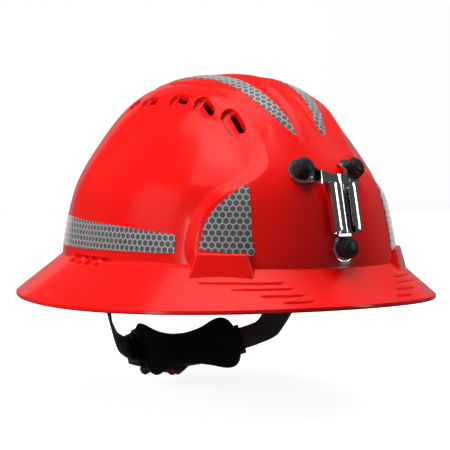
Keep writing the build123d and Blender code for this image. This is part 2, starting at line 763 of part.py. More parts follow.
def make_arm(word, side):
    """One toothed arm that slides round inside the housing and hangs on a temple pin."""
    inner = ARM_RADIUS[word]
    middle = inner + BAND / 2
    toothed = 1 if word == "left" else -1
    pitch = math.degrees(math.pi * MODULE / middle)
    tip = PITCH_RADIUS - 0.7 * MODULE
    root = PITCH_RADIUS + 1.3 * MODULE
    with BuildPart() as arm:
        with BuildSketch(CRADLE.offset(-60)):
            Circle(inner + BAND)
            Circle(inner, mode=Mode.SUBTRACT)
        extrude(amount=80)
        with BuildSketch(Plane(CRADLE.origin - CRADLE.x_dir * side * 12, x_dir=CRADLE.y_dir, z_dir=CRADLE.x_dir)):
            with BuildLine():
                edge = CHANNEL_HALF - 0.4
                upper = Spline(
                    (-TRAVEL, 8), (6, 9.0), (34, -5), (50, -20), (60, edge - NAPE_DROP),
                    tangents=[(1, 0), (1, 0)],
                )
                lower = Spline(
                    (-TRAVEL, -8), (2, -10), (33, -31.3), (48, -43), (60, -edge - NAPE_DROP),
                    tangents=[(1, 0), (1, 0)],
                )
                ThreePointArc(upper @ 0, (-TRAVEL - 8, 0), lower @ 0)
                Polyline(upper @ 1, (95, edge - NAPE_DROP), (95, -edge - NAPE_DROP), lower @ 1)
            make_face()
            with Locations((-TRAVEL / 2, 0)):
                SlotCenterToCenter(TRAVEL, 6.4, mode=Mode.SUBTRACT)
        extrude(amount=side * 110, mode=Mode.INTERSECT)
        # window for the pinion: plain on one edge, toothed on the other
        low, high = (-root - 0.2, tip) if toothed == 1 else (-tip, root + 0.2)
        window = (-4.6, 13.2) if side == 1 else (-13.2, 4.6)
        with BuildSketch(CRADLE.offset(-NAPE_DROP + low)):
            add(arc_band(inner - 1, inner + BAND + 1, *window))
        extrude(amount=high - low, mode=Mode.SUBTRACT)
        for tooth in range(-1, 6):
            angle = side * (tooth + (0 if toothed == 1 else 0.5)) * pitch
            lift = toothed * (tip + root) / 2
            with BuildSketch(nape_plane(angle, inner - 1, NAPE_DROP - lift)):
                Rectangle(1.9, root - tip + 0.2)
            extrude(amount=BAND + 2, mode=Mode.SUBTRACT)
    finish(arm.part, f"nape_arm_{word}")


def make_knob():
    """The adjusting knob, its pinion, pawl spring and screw."""
    shaft_end = ARM_RADIUS["right"] + BAND + 0.3
    with BuildPart() as knob:
        with BuildSketch(nape_plane(0, shaft_end, NAPE_DROP)):
            Circle(3.2)
        extrude(amount=KNOB_BACK - shaft_end - 2)
        with BuildSketch(nape_plane(0, HOUSING_OUTER + 1.0, NAPE_DROP)):
            Circle(KNOB_RADIUS)
            with PolarLocations(KNOB_RADIUS + 1.2, 12):
                Circle(2.1, mode=Mode.SUBTRACT)
        extrude(amount=KNOB_BACK - HOUSING_OUTER - 1.0)
        back = knob.faces().sort_by(Axis(CRADLE.origin, CRADLE.y_dir))[-1]
        chamfer(back.outer_wire().edges(), 0.8)
        with BuildSketch(nape_plane(0, HOUSING_OUTER + 0.5, NAPE_DROP)):
            Circle(10.3)
            Circle(3.2, mode=Mode.SUBTRACT)
        extrude(amount=5.0, mode=Mode.SUBTRACT)
        with BuildSketch(nape_plane(0, shaft_end - 3.6, NAPE_DROP)):
            Rectangle(3.4, 3.4)
        extrude(amount=3.8)
        with BuildSketch(nape_plane(0, shaft_end - 4, NAPE_DROP)):
            Circle(1.1)
        extrude(amount=8, mode=Mode.SUBTRACT)
    finish(knob.part, "ratchet_knob")

    with BuildPart() as pinion:
        with BuildSketch(nape_plane(0, ARM_RADIUS["left"], NAPE_DROP)):
            Circle(3.1)
            with PolarLocations(4.1, PINION_TEETH, start_angle=-90):
                Rectangle(2.4, 1.0)
            Rectangle(3.5, 3.5, mode=Mode.SUBTRACT)
        extrude(amount=shaft_end - ARM_RADIUS["left"] - 0.35)
    finish(pinion.part, "pinion")

    with BuildPart() as spring:
        with BuildSketch(nape_plane(0, HOUSING_OUTER + 1.6, NAPE_DROP)):
            Circle(5.0)
            for turn in (0, 180):
                with Locations(Location((0, 0, 0), (0, 0, turn))):
                    with Locations((3.0, 4.2)):
                        Rectangle(5.6, 1.2, rotation=-12)
            Circle(3.25, mode=Mode.SUBTRACT)
        extrude(amount=2.2)
    finish(spring.part, "pawl_spring")

    with BuildPart() as screw:
        with BuildSketch(nape_plane(0, ARM_RADIUS["left"] - 1.3, NAPE_DROP)):
            Circle(2.9)
        extrude(amount=1.25)
        with BuildSketch(nape_plane(0, ARM_RADIUS["left"] - 0.1, NAPE_DROP)):
            Circle(1.0)
        extrude(amount=7.0)
        with BuildSketch(nape_plane(0, ARM_RADIUS["left"] - 1.4, NAPE_DROP)):
            Rectangle(3.6, 0.7)
        extrude(amount=0.7, mode=Mode.SUBTRACT)
    finish(screw.part, "knob_screw")


make_shell()
make_film()
make_bracket()
make_cable_clip()
make_hooks()
make_webbing()
make_headband()
make_cradle()
make_arm("left", 1)
make_arm("right", -1)
make_knob()
print(len(made), "pieces")
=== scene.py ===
"""Looks of the full-brim helmet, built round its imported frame. Lengths are in millimetres, meshes in metres."""

import math

import bmesh
import bpy
import numpy as np
from mathutils import Matrix, Vector
from mathutils.bvhtree import BVHTree
from mathutils.kdtree import KDTree


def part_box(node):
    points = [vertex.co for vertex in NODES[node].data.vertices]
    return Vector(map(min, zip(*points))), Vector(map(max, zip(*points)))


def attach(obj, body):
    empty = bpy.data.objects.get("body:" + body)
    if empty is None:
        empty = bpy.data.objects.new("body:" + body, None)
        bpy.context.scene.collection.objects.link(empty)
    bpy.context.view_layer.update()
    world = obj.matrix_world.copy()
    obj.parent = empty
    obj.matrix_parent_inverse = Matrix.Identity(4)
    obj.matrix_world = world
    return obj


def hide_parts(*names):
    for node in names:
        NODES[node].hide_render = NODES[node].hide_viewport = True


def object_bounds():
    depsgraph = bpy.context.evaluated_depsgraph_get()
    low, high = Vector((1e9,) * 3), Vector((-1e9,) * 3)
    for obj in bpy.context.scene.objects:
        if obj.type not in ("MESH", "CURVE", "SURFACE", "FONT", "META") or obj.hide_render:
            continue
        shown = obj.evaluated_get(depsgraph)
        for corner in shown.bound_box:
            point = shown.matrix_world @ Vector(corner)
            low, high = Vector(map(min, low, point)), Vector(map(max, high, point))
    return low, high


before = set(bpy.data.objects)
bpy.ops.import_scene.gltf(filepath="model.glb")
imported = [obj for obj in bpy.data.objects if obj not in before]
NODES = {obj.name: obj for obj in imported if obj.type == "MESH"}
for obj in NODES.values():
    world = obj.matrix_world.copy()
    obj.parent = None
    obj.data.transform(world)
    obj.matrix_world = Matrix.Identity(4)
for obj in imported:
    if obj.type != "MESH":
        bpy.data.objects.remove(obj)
cad_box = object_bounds()
MM = 0.001

# ------------------------------------------------------------------ helpers


def unit(v):
    v = np.asarray(v, float)
    return v / np.linalg.norm(v)


def smooth(t):
    t = np.clip(t, 0, 1)
    return t * t * (3 - 2 * t)


def new_object(name, verts, faces, body, material, angle=35.0, scale=MM):
    mesh = bpy.data.meshes.new(name)
    mesh.from_pydata((np.asarray(verts, float) * scale).tolist(), [],
                     [tuple(int(i) for i in f) for f in faces])
    mesh.validate()
    clean = bmesh.new()
    clean.from_mesh(mesh)
    bmesh.ops.recalc_face_normals(clean, faces=clean.faces)
    clean.to_mesh(mesh)
    clean.free()
    obj = bpy.data.objects.new(name, mesh)
    bpy.context.scene.collection.objects.link(obj)
    mesh.materials.append(material)
    mesh.shade_smooth()
    if angle is not None:
        mesh.set_sharp_from_angle(angle=math.radians(angle))
    if body:
        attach(obj, body)
    return obj


def modifier(obj, kind, **values):
    m = obj.modifiers.new(kind.lower(), kind)
    for key, value in values.items():
        setattr(m, key, value)
    return m


def bevelled(obj, width, segments=2, angle=30.0):
    modifier(obj, "BEVEL", width=width * MM, segments=segments, limit_method="ANGLE",
             angle_limit=math.radians(angle), harden_normals=True)
    return obj


def catmull(points, steps=10, closed=True):
    """A smooth line through the points."""
    p = np.asarray(points, float)
    n = len(p)
    out = []
    for i in range(n if closed else n - 1):
        if closed:
            a, b, c, d = p[i - 1], p[i], p[(i + 1) % n], p[(i + 2) % n]
        else:
            b, c = p[i], p[i + 1]
            a = p[i - 1] if i else 2 * b - c
            d = p[i + 2] if i + 2 < n else 2 * c - b
        for k in range(steps):
            t = k / steps
            curve = (2 * a - 5 * b + 4 * c - d) * t**2 + (3 * b - a - 3 * c + d) * t**3
            out.append(0.5 * (2 * b + (c - a) * t + curve))
    if not closed:
        out.append(p[-1])
    return np.array(out)


def grid_faces(rows, cols):
    """Faces of an open grid of points."""
    corners = ((r * cols + c) for r in range(rows - 1) for c in range(cols - 1))
    return [(a, a + 1, a + cols + 1, a + cols) for a in corners]


def tube_faces(rows, sides):
    """Faces between rings of points, each ring closed."""
    faces = []
    for i in range(rows - 1):
        for k in range(sides):
            m = (k + 1) % sides
            faces.append((i * sides + k, i * sides + m, (i + 1) * sides + m, (i + 1) * sides + k))
    return faces


def grid_border(rows, cols):
    """The points round the edge of a grid, in order."""
    border = [r * cols for r in range(rows)] + [(rows - 1) * cols + c for c in range(1, cols)]
    return border + [r * cols + cols - 1 for r in range(rows - 2, -1, -1)] + list(range(cols - 2, 0, -1))


def layer_faces(rows, cols):
    """Faces of a closed pad made of two like grids of points, one after the other, row by row."""
    size = rows * cols
    one = grid_faces(rows, cols)
    faces = [f[::-1] for f in one] + [tuple(i + size for i in f) for f in one]
    border = grid_border(rows, cols)
    faces += [(a, b, b + size, a + size) for a, b in zip(border, border[1:] + border[:1])]
    return faces


def outline_distance(x, y, line, closed=True):
    """Signed distance from points to a closed line, negative inside; or the plain distance to an open one."""
    best = np.full(x.shape, 1e9)
    inside = np.zeros(x.shape, bool)
    ends = np.roll(line, -1, axis=0) if closed else line[1:]
    for (ax, ay), (bx, by) in zip(line, ends):
        dx, dy = bx - ax, by - ay
        size = dx * dx + dy * dy + 1e-12
        t = np.clip(((x - ax) * dx + (y - ay) * dy) / size, 0, 1)
        best = np.minimum(best, np.hypot(x - ax - t * dx, y - ay - t * dy))
        if closed:
            crosses = (ay > y) != (by > y)
            inside ^= crosses & (x < (bx - ax) * (y - ay) / (by - ay + 1e-12) + ax)
    return np.where(inside, -best, best) if closed else best


def segment_distance(p, a, b):
    """Distance in space from points to the segment a-b."""
    d = b - a
    t = np.clip(((p - a) @ d) / (d @ d), 0, 1)
    return np.linalg.norm(p - a - t[..., None] * d, axis=-1)


# ------------------------------------------------------------------ materials


class Nodes:
    """A material's node tree with short calls."""

    def __init__(self, name):
        self.mat = bpy.data.materials.new(name)
        self.mat.use_nodes = True
        self.tree = self.mat.node_tree
        self.bsdf = self.tree.nodes["Principled BSDF"]

    def node(self, kind, inputs=(), **values):
        n = self.tree.nodes.new(kind)
        for key, value in values.items():
            setattr(n, key, value)
        for key, value in dict(inputs).items():
            self.put(n.inputs[key], value)
        return n

    def put(self, socket, value):
        if isinstance(value, bpy.types.NodeSocket):
            self.tree.links.new(value, socket)
        else:
            socket.default_value = value

    def math(self, op, a, b=0.0, c=0.0):
        n = self.node("ShaderNodeMath", operation=op)
        for i, v in enumerate((a, b, c)):
            self.put(n.inputs[i], v)
        return n.outputs[0]

    def vector(self, op, a, b=None):
        n = self.node("ShaderNodeVectorMath", operation=op)
        self.put(n.inputs[0], a)
        if b is not None:
            self.put(n.inputs[1], b)
        return n.outputs["Value"] if op in ("DOT_PRODUCT", "LENGTH") else n.outputs["Vector"]

    def ramp(self, factor, *stops):
        n = self.node("ShaderNodeValToRGB")
        while len(n.color_ramp.elements) < len(stops):
            n.color_ramp.elements.new(0.5)
        for e, (at, colour) in zip(n.color_ramp.elements, stops):
            e.position = at
            e.color = (*colour, 1)
        self.put(n.inputs[0], factor)
        return n.outputs[0]

    def mix(self, factor, a, b):
        n = self.node("ShaderNodeMix", data_type="RGBA")
        self.put(n.inputs[0], factor)
        self.put(n.inputs[6], a)
        self.put(n.inputs[7], b)
        return n.outputs[2]

    def place(self, which="Object"):
        return self.node("ShaderNodeTexCoord").outputs[which]

    def noise(self, scale, detail=3.0, rough=0.5, where=None):
        n = self.node("ShaderNodeTexNoise", {"Scale": scale, "Detail": detail, "Roughness": rough})
        self.put(n.inputs["Vector"], where or self.place())
        return n.outputs[0]

    def bump(self, height, strength, distance):
        n = self.node("ShaderNodeBump", {"Strength": strength, "Distance": distance, "Height": height})
        self.put(self.bsdf.inputs["Normal"], n.outputs[0])

    def set(self, **values):
        for key, value in values.items():
            self.put(self.bsdf.inputs[key.replace("_", " ")], value)
        return self


def plastic(name, colour, rough, spread=0.12, grain=900.0, bump=0.05, coat=0.0, coat_rough=0.05):
    """Moulded plastic: a little uneven in colour, with a fine grain."""
    m = Nodes(name)
    dark = tuple(c * (1 - spread) for c in colour)
    light = tuple(min(1.0, c * (1 + spread)) for c in colour)
    patchy = m.noise(35.0, 2.0)
    m.set(Base_Color=m.ramp(patchy, (0.35, dark), (0.65, light)))
    m.set(Roughness=m.math("ADD", rough - 0.04, m.math("MULTIPLY", m.noise(180.0, 4.0), 0.08)))
    m.set(Coat_Weight=coat, Coat_Roughness=coat_rough)
    if bump:
        m.bump(m.noise(grain, 2.0), bump, 0.0004)
    return m.mat


def metal(name, colour, rough, scratch):
    """Bare or plated metal with faint scratches in its gloss."""
    m = Nodes(name)
    m.set(Metallic=1.0)
    m.set(Base_Color=m.ramp(m.noise(60.0), (0.3, tuple(c * 0.94 for c in colour)), (0.7, colour)))
    m.set(Roughness=m.math("ADD", rough, m.math("MULTIPLY", m.noise(300.0, 5.0), scratch)))
    return m.mat


def film(name):
    """Reflective film: dark hexagonal cells between light lines, drawn in the piece's flat coordinates."""
    m = Nodes(name)
    pitch = 4.4
    flat = m.place("UV")
    scaled = m.vector("SCALE", flat)
    m.put(scaled.node.inputs["Scale"], 1000.0 / pitch)
    cell = (1.0, 1.7320508, 1.0)
    half = (0.5, 0.8660254, 0.5)
    a = m.vector("SUBTRACT", m.vector("MODULO", m.vector("ADD", scaled, (400.0, 692.82032, 0.0)), cell), half)
    b = m.vector("SUBTRACT", m.vector("MODULO", m.vector("ADD", scaled, (400.5, 693.68635, 0.0)), cell), half)
    nearer = m.math("LESS_THAN", m.vector("DOT_PRODUCT", a, a), m.vector("DOT_PRODUCT", b, b))
    pick = m.node("ShaderNodeMix", data_type="VECTOR")
    m.put(pick.inputs[0], nearer)
    m.put(pick.inputs[4], b)
    m.put(pick.inputs[5], a)
    sides = m.vector("ABSOLUTE", pick.outputs[1])
    slant = m.vector("DOT_PRODUCT", sides, (0.5, 0.8660254, 0.0))
    xyz = m.node("ShaderNodeSeparateXYZ", {0: sides})
    edge = m.math("MAXIMUM", slant, xyz.outputs[0])
    line = m.node("ShaderNodeMapRange", {0: edge, 1: 0.385, 2: 0.435}).outputs[0]
    fine = m.node("ShaderNodeTexVoronoi", {"Scale": 1500.0, "Vector": flat}, feature="F1")
    speckle = m.ramp(fine.outputs["Color"], (0.2, (0.075, 0.077, 0.08)), (0.8, (0.15, 0.152, 0.155)))
    m.set(Base_Color=m.mix(line, speckle, (0.52, 0.53, 0.54, 1)))
    m.set(Metallic=0.35, Coat_Weight=0.5, Coat_Roughness=0.12, Sheen_Weight=1.0, Sheen_Roughness=0.3)
    m.set(Roughness=m.math("SUBTRACT", 0.42, m.math("MULTIPLY", line, 0.1)))
    m.bump(line, 0.25, 0.0002)
    return m.mat


def weave(name, colour, pitch=1.6, sheen=0.4, depth=0.5):
    """Woven or knitted cloth, by object coordinates."""
    m = Nodes(name)
    at = m.place()
    heights = []
    for axis, turn in (("X", 0.0), ("Y", math.pi / 2), ("Z", 0.0)):
        w = m.node("ShaderNodeTexWave", {"Scale": 1000.0 / pitch / 3.2, "Distortion": 0.6,
                                         "Phase Offset": turn,
                                         "Detail": 1.0, "Vector": at}, wave_type="BANDS",
                   bands_direction=axis)
        heights.append(w.outputs["Fac"])
    total = m.math("MULTIPLY", m.math("ADD", m.math("ADD", heights[0], heights[1]), heights[2]), 0.34)
    fuzz = m.noise(900.0, 4.0)
    mixed = m.math("ADD", m.math("MULTIPLY", total, 0.75), m.math("MULTIPLY", fuzz, 0.25))
    m.set(Base_Color=m.ramp(mixed, (0.2, tuple(c * 0.45 for c in colour)),
                            (0.85, tuple(c * 1.5 for c in colour))))
    m.set(Roughness=0.9, Sheen_Weight=sheen, Sheen_Roughness=0.5)
    m.bump(mixed, depth, 0.0005)
    return m.mat


def gloss_red():
    """The shell's polished red plastic."""
    m = Nodes("shell_gloss_red")
    tone = m.noise(9.0, 2.0)
    m.set(Base_Color=m.ramp(tone, (0.3, (0.79, 0.0045, 0.003)), (0.7, (0.83, 0.0062, 0.0045))))
    m.set(Roughness=m.math("ADD", 0.16, m.math("MULTIPLY", m.noise(70.0, 5.0), 0.05)))
    m.set(Specular_IOR_Level=0.45, Coat_Weight=0.55, Coat_Roughness=0.025, Coat_IOR=1.45)
    m.bump(m.noise(45.0, 2.0, 0.4), 0.012, 0.002)
    return m.mat


SHELL = gloss_red()
INNER = plastic("shell_inner_red", (0.66, 0.005, 0.004), 0.4, 0.06, 700.0, 0.06)
FILM = film("honeycomb_film")
CHROME = metal("chrome_plate", (0.83, 0.84, 0.86), 0.03, 0.03)
STEEL = metal("plain_steel", (0.42, 0.42, 0.43), 0.3, 0.12)
CAP = plastic("cap_rubber", (0.012, 0.013, 0.016), 0.36, 0.2, 1200.0, 0.08, 0.15, 0.3)
HARNESS = plastic("harness_plastic", (0.045, 0.043, 0.04), 0.42, 0.18, 1000.0, 0.12)
ARM = plastic("arm_plastic", (0.21, 0.2, 0.185), 0.36, 0.15, 1000.0, 0.1)
KNOB = plastic("knob_red", (0.24, 0.003, 0.006), 0.3, 0.1, 900.0, 0.05, 0.3, 0.1)
PAD = weave("pad_cloth", (0.017, 0.017, 0.016), 1.1, 0.12, 0.5)
SWEAT = weave("sweatband_cloth", (0.03, 0.03, 0.032), 1.0, 0.5, 0.6)
WEBBING = weave("webbing_weave", (0.035, 0.035, 0.037), 1.5, 0.3, 0.8)

# ------------------------------------------------------------------ shell surface

DOME_W, DOME_F, DOME_R, CROWN, BROW, WALL = 110.0, 135.0, 127.0, 152.5, 26.0, 2.6
BRIM_W, BRIM_F, BRIM_R = 142.0, 156.0, 161.0
STATIONS = [(1.0, 0.0), (0.968, 0.2), (0.908, 0.4), (0.782, 0.6), (0.614, 0.8), (0.413, 0.93), (0.0, 1.0)]
COLUMNS = 720
DOME_ROWS = 200
BRIM_ROWS = 60
UNDER_ROWS = 24


def dome_profile(count):
    """Even steps up the dome's profile, from the apex down: shares of the half width and of the height."""
    p = np.array([(DOME_W * r, (CROWN - BROW) * t) for r, t in STATIONS])
    s = np.concatenate([[0], np.cumsum(np.linalg.norm(np.diff(p, axis=0), axis=1))])
    h = np.diff(s)
    n = len(p)
    system = np.zeros((n, n))
    right = np.zeros((n, 2))
    system[0, 0] = system[-1, -1] = 1
    right[0] = unit((-0.06, 1))
    right[-1] = (-1, 0)
    for i in range(1, n - 1):
        system[i, i - 1], system[i, i], system[i, i + 1] = h[i], 2 * (h[i - 1] + h[i]), h[i - 1]
        right[i] = 3 * (h[i] * (p[i] - p[i - 1]) / h[i - 1] + h[i - 1] * (p[i + 1] - p[i]) / h[i])
    slope = np.linalg.solve(system, right)
    fine = []
    for i in range(n - 1):
        t = np.linspace(0, 1, 80, endpoint=False)[:, None]
        fine.append((2 * t**3 - 3 * t**2 + 1) * p[i] + (t**3 - 2 * t**2 + t) * h[i] * slope[i]
                    + (3 * t**2 - 2 * t**3) * p[i + 1] + (t**3 - t**2) * h[i] * slope[i + 1])
    fine = np.concatenate(fine + [p[-1:]])[::-1]
    run = np.concatenate([[0], np.cumsum(np.linalg.norm(np.diff(fine, axis=0), axis=1))])
    at = np.linspace(0.6, run[-1], count)
    return np.interp(at, run, fine[:, 0]) / DOME_W, np.interp(at, run, fine[:, 1]) / (CROWN - BROW)


share_r, share_t = dome_profile(DOME_ROWS)
turn = np.linspace(0, 2 * math.pi, COLUMNS, endpoint=False)


def ring_points(wide, front, rear, z):
    """Points round the helmet for rows of given half width, front and rear reach, and height."""
    c, s = np.cos(turn)[None, :], np.sin(turn)[None, :]
    wide, front, rear, z = (np.asarray(v, float)[:, None] for v in (wide, front, rear, z))
    reach = np.where(c > 0, front, rear)
    return np.stack([wide * s, -reach * c, z + 0 * s], axis=-1)


FRONT_LIFT = 5.0  # how far the brim's edge rises at the front


def lifted(p, share):
    """Raises rows of the brim towards the front; share is how far out each row is."""
    c = np.clip(np.cos(turn), 0, 1)[None, :] ** 2
    p = p.copy()
    p[..., 2] += FRONT_LIFT * c * (np.asarray(share, float)[:, None] ** 1.3)
    return p


def flare(share):
    """The brim's half width, front and rear reach, from the dome at 0 to the edge at 1."""
    return [a + (b - a) * share for a, b in ((DOME_W, BRIM_W), (DOME_F, BRIM_F), (DOME_R, BRIM_R))]


u = np.linspace(0, 1, BRIM_ROWS + 1)[1:]
outer_rows = ring_points(
    *(np.concatenate([size * share_r, out]) for size, out in zip((DOME_W, DOME_F, DOME_R), flare(u))),
    np.concatenate([BROW + (CROWN - BROW) * share_t, BROW * (1 - u)]),
)
outer_rows[DOME_ROWS:] = lifted(outer_rows[DOME_ROWS:], u)
inner_rows = ring_points(
    (DOME_W - WALL) * share_r,
    (DOME_F - WALL * DOME_F / DOME_W) * share_r,
    (DOME_R - WALL * DOME_R / DOME_W) * share_r,
    BROW + (CROWN - BROW - WALL) * share_t,
)


def grid_normals(p):
    """Outward normals of a grid that wraps round its second index."""
    down = np.gradient(p, axis=0)
    across = np.roll(p, -1, axis=1) - np.roll(p, 1, axis=1)
    n = np.cross(down, across)
    n /= np.linalg.norm(n, axis=-1, keepdims=True) + 1e-12
    flip = np.sign((n * p).sum(-1, keepdims=True) + 0.5 * n[..., 2:] * 40)
    return n * np.where(flip == 0, 1, flip)


dome_normals = grid_normals(outer_rows[:DOME_ROWS])
brim_normals = grid_normals(outer_rows[DOME_ROWS:])
normals = np.concatenate([dome_normals, brim_normals])

side_x = np.abs(outer_rows[..., 0])
heading = np.degrees(np.arctan2(side_x, -outer_rows[..., 1]))
height = outer_rows[..., 2]
mirrored = np.stack([-side_x, outer_rows[..., 1], height], axis=-1)

# the recessed side panel: its floor and the outside of the bevel round it, by heading in degrees and height
PANEL_FLOOR = [(45.5, 5), (45.5, 37), (44, 54), (41, 67), (36, 75.5), (29, 84), (25.5, 91), (25, 98),
               (28, 104), (31.5, 109),
               (36, 116.5), (45, 123.5), (60, 128), (74, 128), (82, 119), (90, 103), (93.5, 88), (95.5, 72),
               (96, 52), (95, 34), (94, 5)]
PANEL_RIM = [(42.5, 3), (42.3, 36), (41.5, 50), (38.5, 63), (33.5, 71.5), (26.5, 78.5), (21, 86), (19, 93),
             (19.3, 103), (21.5, 111),
             (25, 118.5), (29.5, 124.5), (37.5, 130.5), (53, 136), (73, 138), (88, 130), (97, 118),
             (103, 103), (106, 88), (108, 72),
             (108, 52), (107, 34), (106, 3)]
PANEL_DEPTH = 2.5
DEGREE = 1.75  # millimetres along the wall for one degree of heading

# vents on the wearer's right: middle of the opening, length, way that it runs
VENTS = [
    ((-41.0, -76.5, 117.8), 17.0, (0.02, -0.72, -0.69)),
    ((-49.2, -53.5, 128.2), 14.5, (-0.08, -0.82, -0.56)),
    ((-53.9, -29.9, 133.8), 11.0, (0.12, -0.97, -0.2)),
    ((-61.3, -2.6, 133.5), 10.0, (0.05, -1.0, 0.05)),
    ((-60.0, 19.0, 131.0), 10.0, (-0.1, -0.98, 0.2)),
]
VENT_R = 2.3


def vent_lines():
    """Ends of each opening, and of the scoop beside it, on the wearer's right."""
    lines = []
    for centre, length, way in VENTS:
        c = np.array(centre)
        near = np.argmin(np.linalg.norm(mirrored[:DOME_ROWS] - c, axis=-1))
        i, j = np.unravel_index(near, side_x[:DOME_ROWS].shape)
        spot = mirrored[i, j]
        n = normals[i, j] * np.array([-1 if outer_rows[i, j, 0] > 0 else 1, 1, 1])
        along = unit(np.array(way) - n * (np.array(way) @ n))
        aside = unit(np.cross(n, along))
        if aside[0] > 0:
            aside = -aside
        half = length / 2 - VENT_R
        middle = spot + aside * 2.7 - along * 0.9
        lines.append((spot - along * half, spot + along * half, middle - along * half, middle + along * half))
    return lines


def shell_relief():
    """How far the surface stands out from dome and brim, and the field that is negative in a vent."""
    relief = np.zeros(height.shape)
    floor = outline_distance(heading * DEGREE, height, catmull(PANEL_FLOOR) * (DEGREE, 1))
    rim = outline_distance(heading * DEGREE, height, catmull(PANEL_RIM) * (DEGREE, 1))
    share = np.clip(-rim, 0, None) / (np.clip(-rim, 0, None) + np.clip(floor, 0, None) + 1e-6)
    relief -= PANEL_DEPTH * share * smooth((height - BROW) / 1.2)
    # the spine between two channels on the crown
    run = outer_rows[..., 1]
    fade = smooth((run + 104) / 12) * smooth((92 - run) / 20) * (height > BROW)
    relief -= 1.5 * fade * np.exp(-(((side_x - 8.2) / 2.3) ** 2))
    relief += 0.5 * fade * np.exp(-((side_x / 5.5) ** 4))
    # a crease outside each crown strip
    crease = catmull([(27, -92), (29, -81), (32.3, -67), (35.5, -51), (40, -28), (42, 0), (40, 32), (33, 62),
                      (27, 82)], closed=False)
    near = outline_distance(side_x, run, crease, closed=False)
    step = np.where(side_x > np.interp(run, crease[:, 1], crease[:, 0]), 1.0, 0.35)
    relief -= 1.1 * np.exp(-((near / np.where(step > 0.5, 4.2, 1.3)) ** 2)) * (height > 90)
    # scoops round the vents
    hole = np.full(height.shape, 50.0)
    for a, b, c, d in vent_lines():
        scoop = smooth(0.5 - (segment_distance(mirrored, c, d) - 5.3) / 0.9)
        relief -= 3.0 * scoop
        opening = segment_distance(mirrored, a, b) - VENT_R
        relief += 1.0 * scoop * smooth(1.4 - np.abs(opening - 0.6) / 0.7)
        hole = np.minimum(hole, opening)
    # the ribbed notch above the brim at each side
    notch = smooth((heading - 76) / 0.8) * smooth((101 - heading) / 0.8)
    notch = notch * smooth((28.6 - height) / 0.7) * smooth((height - 23.2) / 0.7)
    for rib in (82.5, 88.5, 94.5):
        notch = notch * (1 - smooth(1.6 - np.abs(heading - rib) / 0.55))
    relief -= 2.6 * notch
    # thin staggered grooves on the front of the brim
    outer_height = height.copy()
    outer_height[DOME_ROWS:] = (BROW * (1 - u))[:, None]
    for z, first, last in ((17.0, 18, 41), (12.8, 16, 32), (8.4, 14, 25), (4.0, 12, 20)):
        ends = smooth(heading - first) * smooth(last - heading)
        relief -= 1.0 * ends * np.clip(1 - np.abs(outer_height - z) / 0.8, 0, 1) * (height < BROW)
    return relief, hole


relief, hole = shell_relief()
relief[:3] = relief[3]
outer = outer_rows + normals * relief[..., None]
inner = inner_rows + normals[:DOME_ROWS] * relief[:DOME_ROWS, :, None]
outer_normals = np.concatenate([grid_normals(outer[:DOME_ROWS]), grid_normals(outer[DOME_ROWS:])])


def snap(field, limit=0.72):
    """Grid shifts that bring the points next to the field's zero line onto it, and the faces inside it."""
    gi = np.gradient(field, axis=0)
    gj = (np.roll(field, -1, axis=1) - np.roll(field, 1, axis=1)) / 2
    size = np.sqrt(gi**2 + gj**2) + 1e-9
    near = np.abs(field) < limit * size
    shift_i = np.where(near, -field * gi / size**2, 0)
    shift_j = np.where(near, -field * gj / size**2, 0)
    within = (field < 0) | near
    corners = within[:-1] & within[1:]
    corners = corners & np.roll(corners, -1, axis=1)
    middle = field[:-1] + field[1:]
    middle = middle + np.roll(middle, -1, axis=1)
    return shift_i, shift_j, corners & (middle < 0)


def sample(grid, i, j):
    """A grid's values at fractional rows and columns."""
    rows = grid.shape[0]
    i = np.clip(i, 0, rows - 1.0001)
    i0 = np.floor(i).astype(int)
    j0 = np.floor(j).astype(int)
    fi, fj = (i - i0)[..., None], (j - j0)[..., None]
    a, b = j0 % COLUMNS, (j0 + 1) % COLUMNS
    return ((1 - fi) * (1 - fj) * grid[i0, a] + (1 - fi) * fj * grid[i0, b]
            + fi * (1 - fj) * grid[i0 + 1, a] + fi * fj * grid[i0 + 1, b])


index_i, index_j = np.meshgrid(np.arange(len(outer)), np.arange(COLUMNS), indexing="ij")


def quads(rows, first, keep=None, flip=False):
    """Faces between neighbouring rows of points numbered from first."""
    i, j = np.meshgrid(np.arange(rows - 1), np.arange(COLUMNS), indexing="ij")
    if keep is not None:
        i, j = i[keep], j[keep]
    i, j = i.ravel(), j.ravel()
    k = (j + 1) % COLUMNS
    row, below = first + i * COLUMNS, first + (i + 1) * COLUMNS
    f = np.stack([row + j, row + k, below + k, below + j], 1)
    return f[:, ::-1] if flip else f


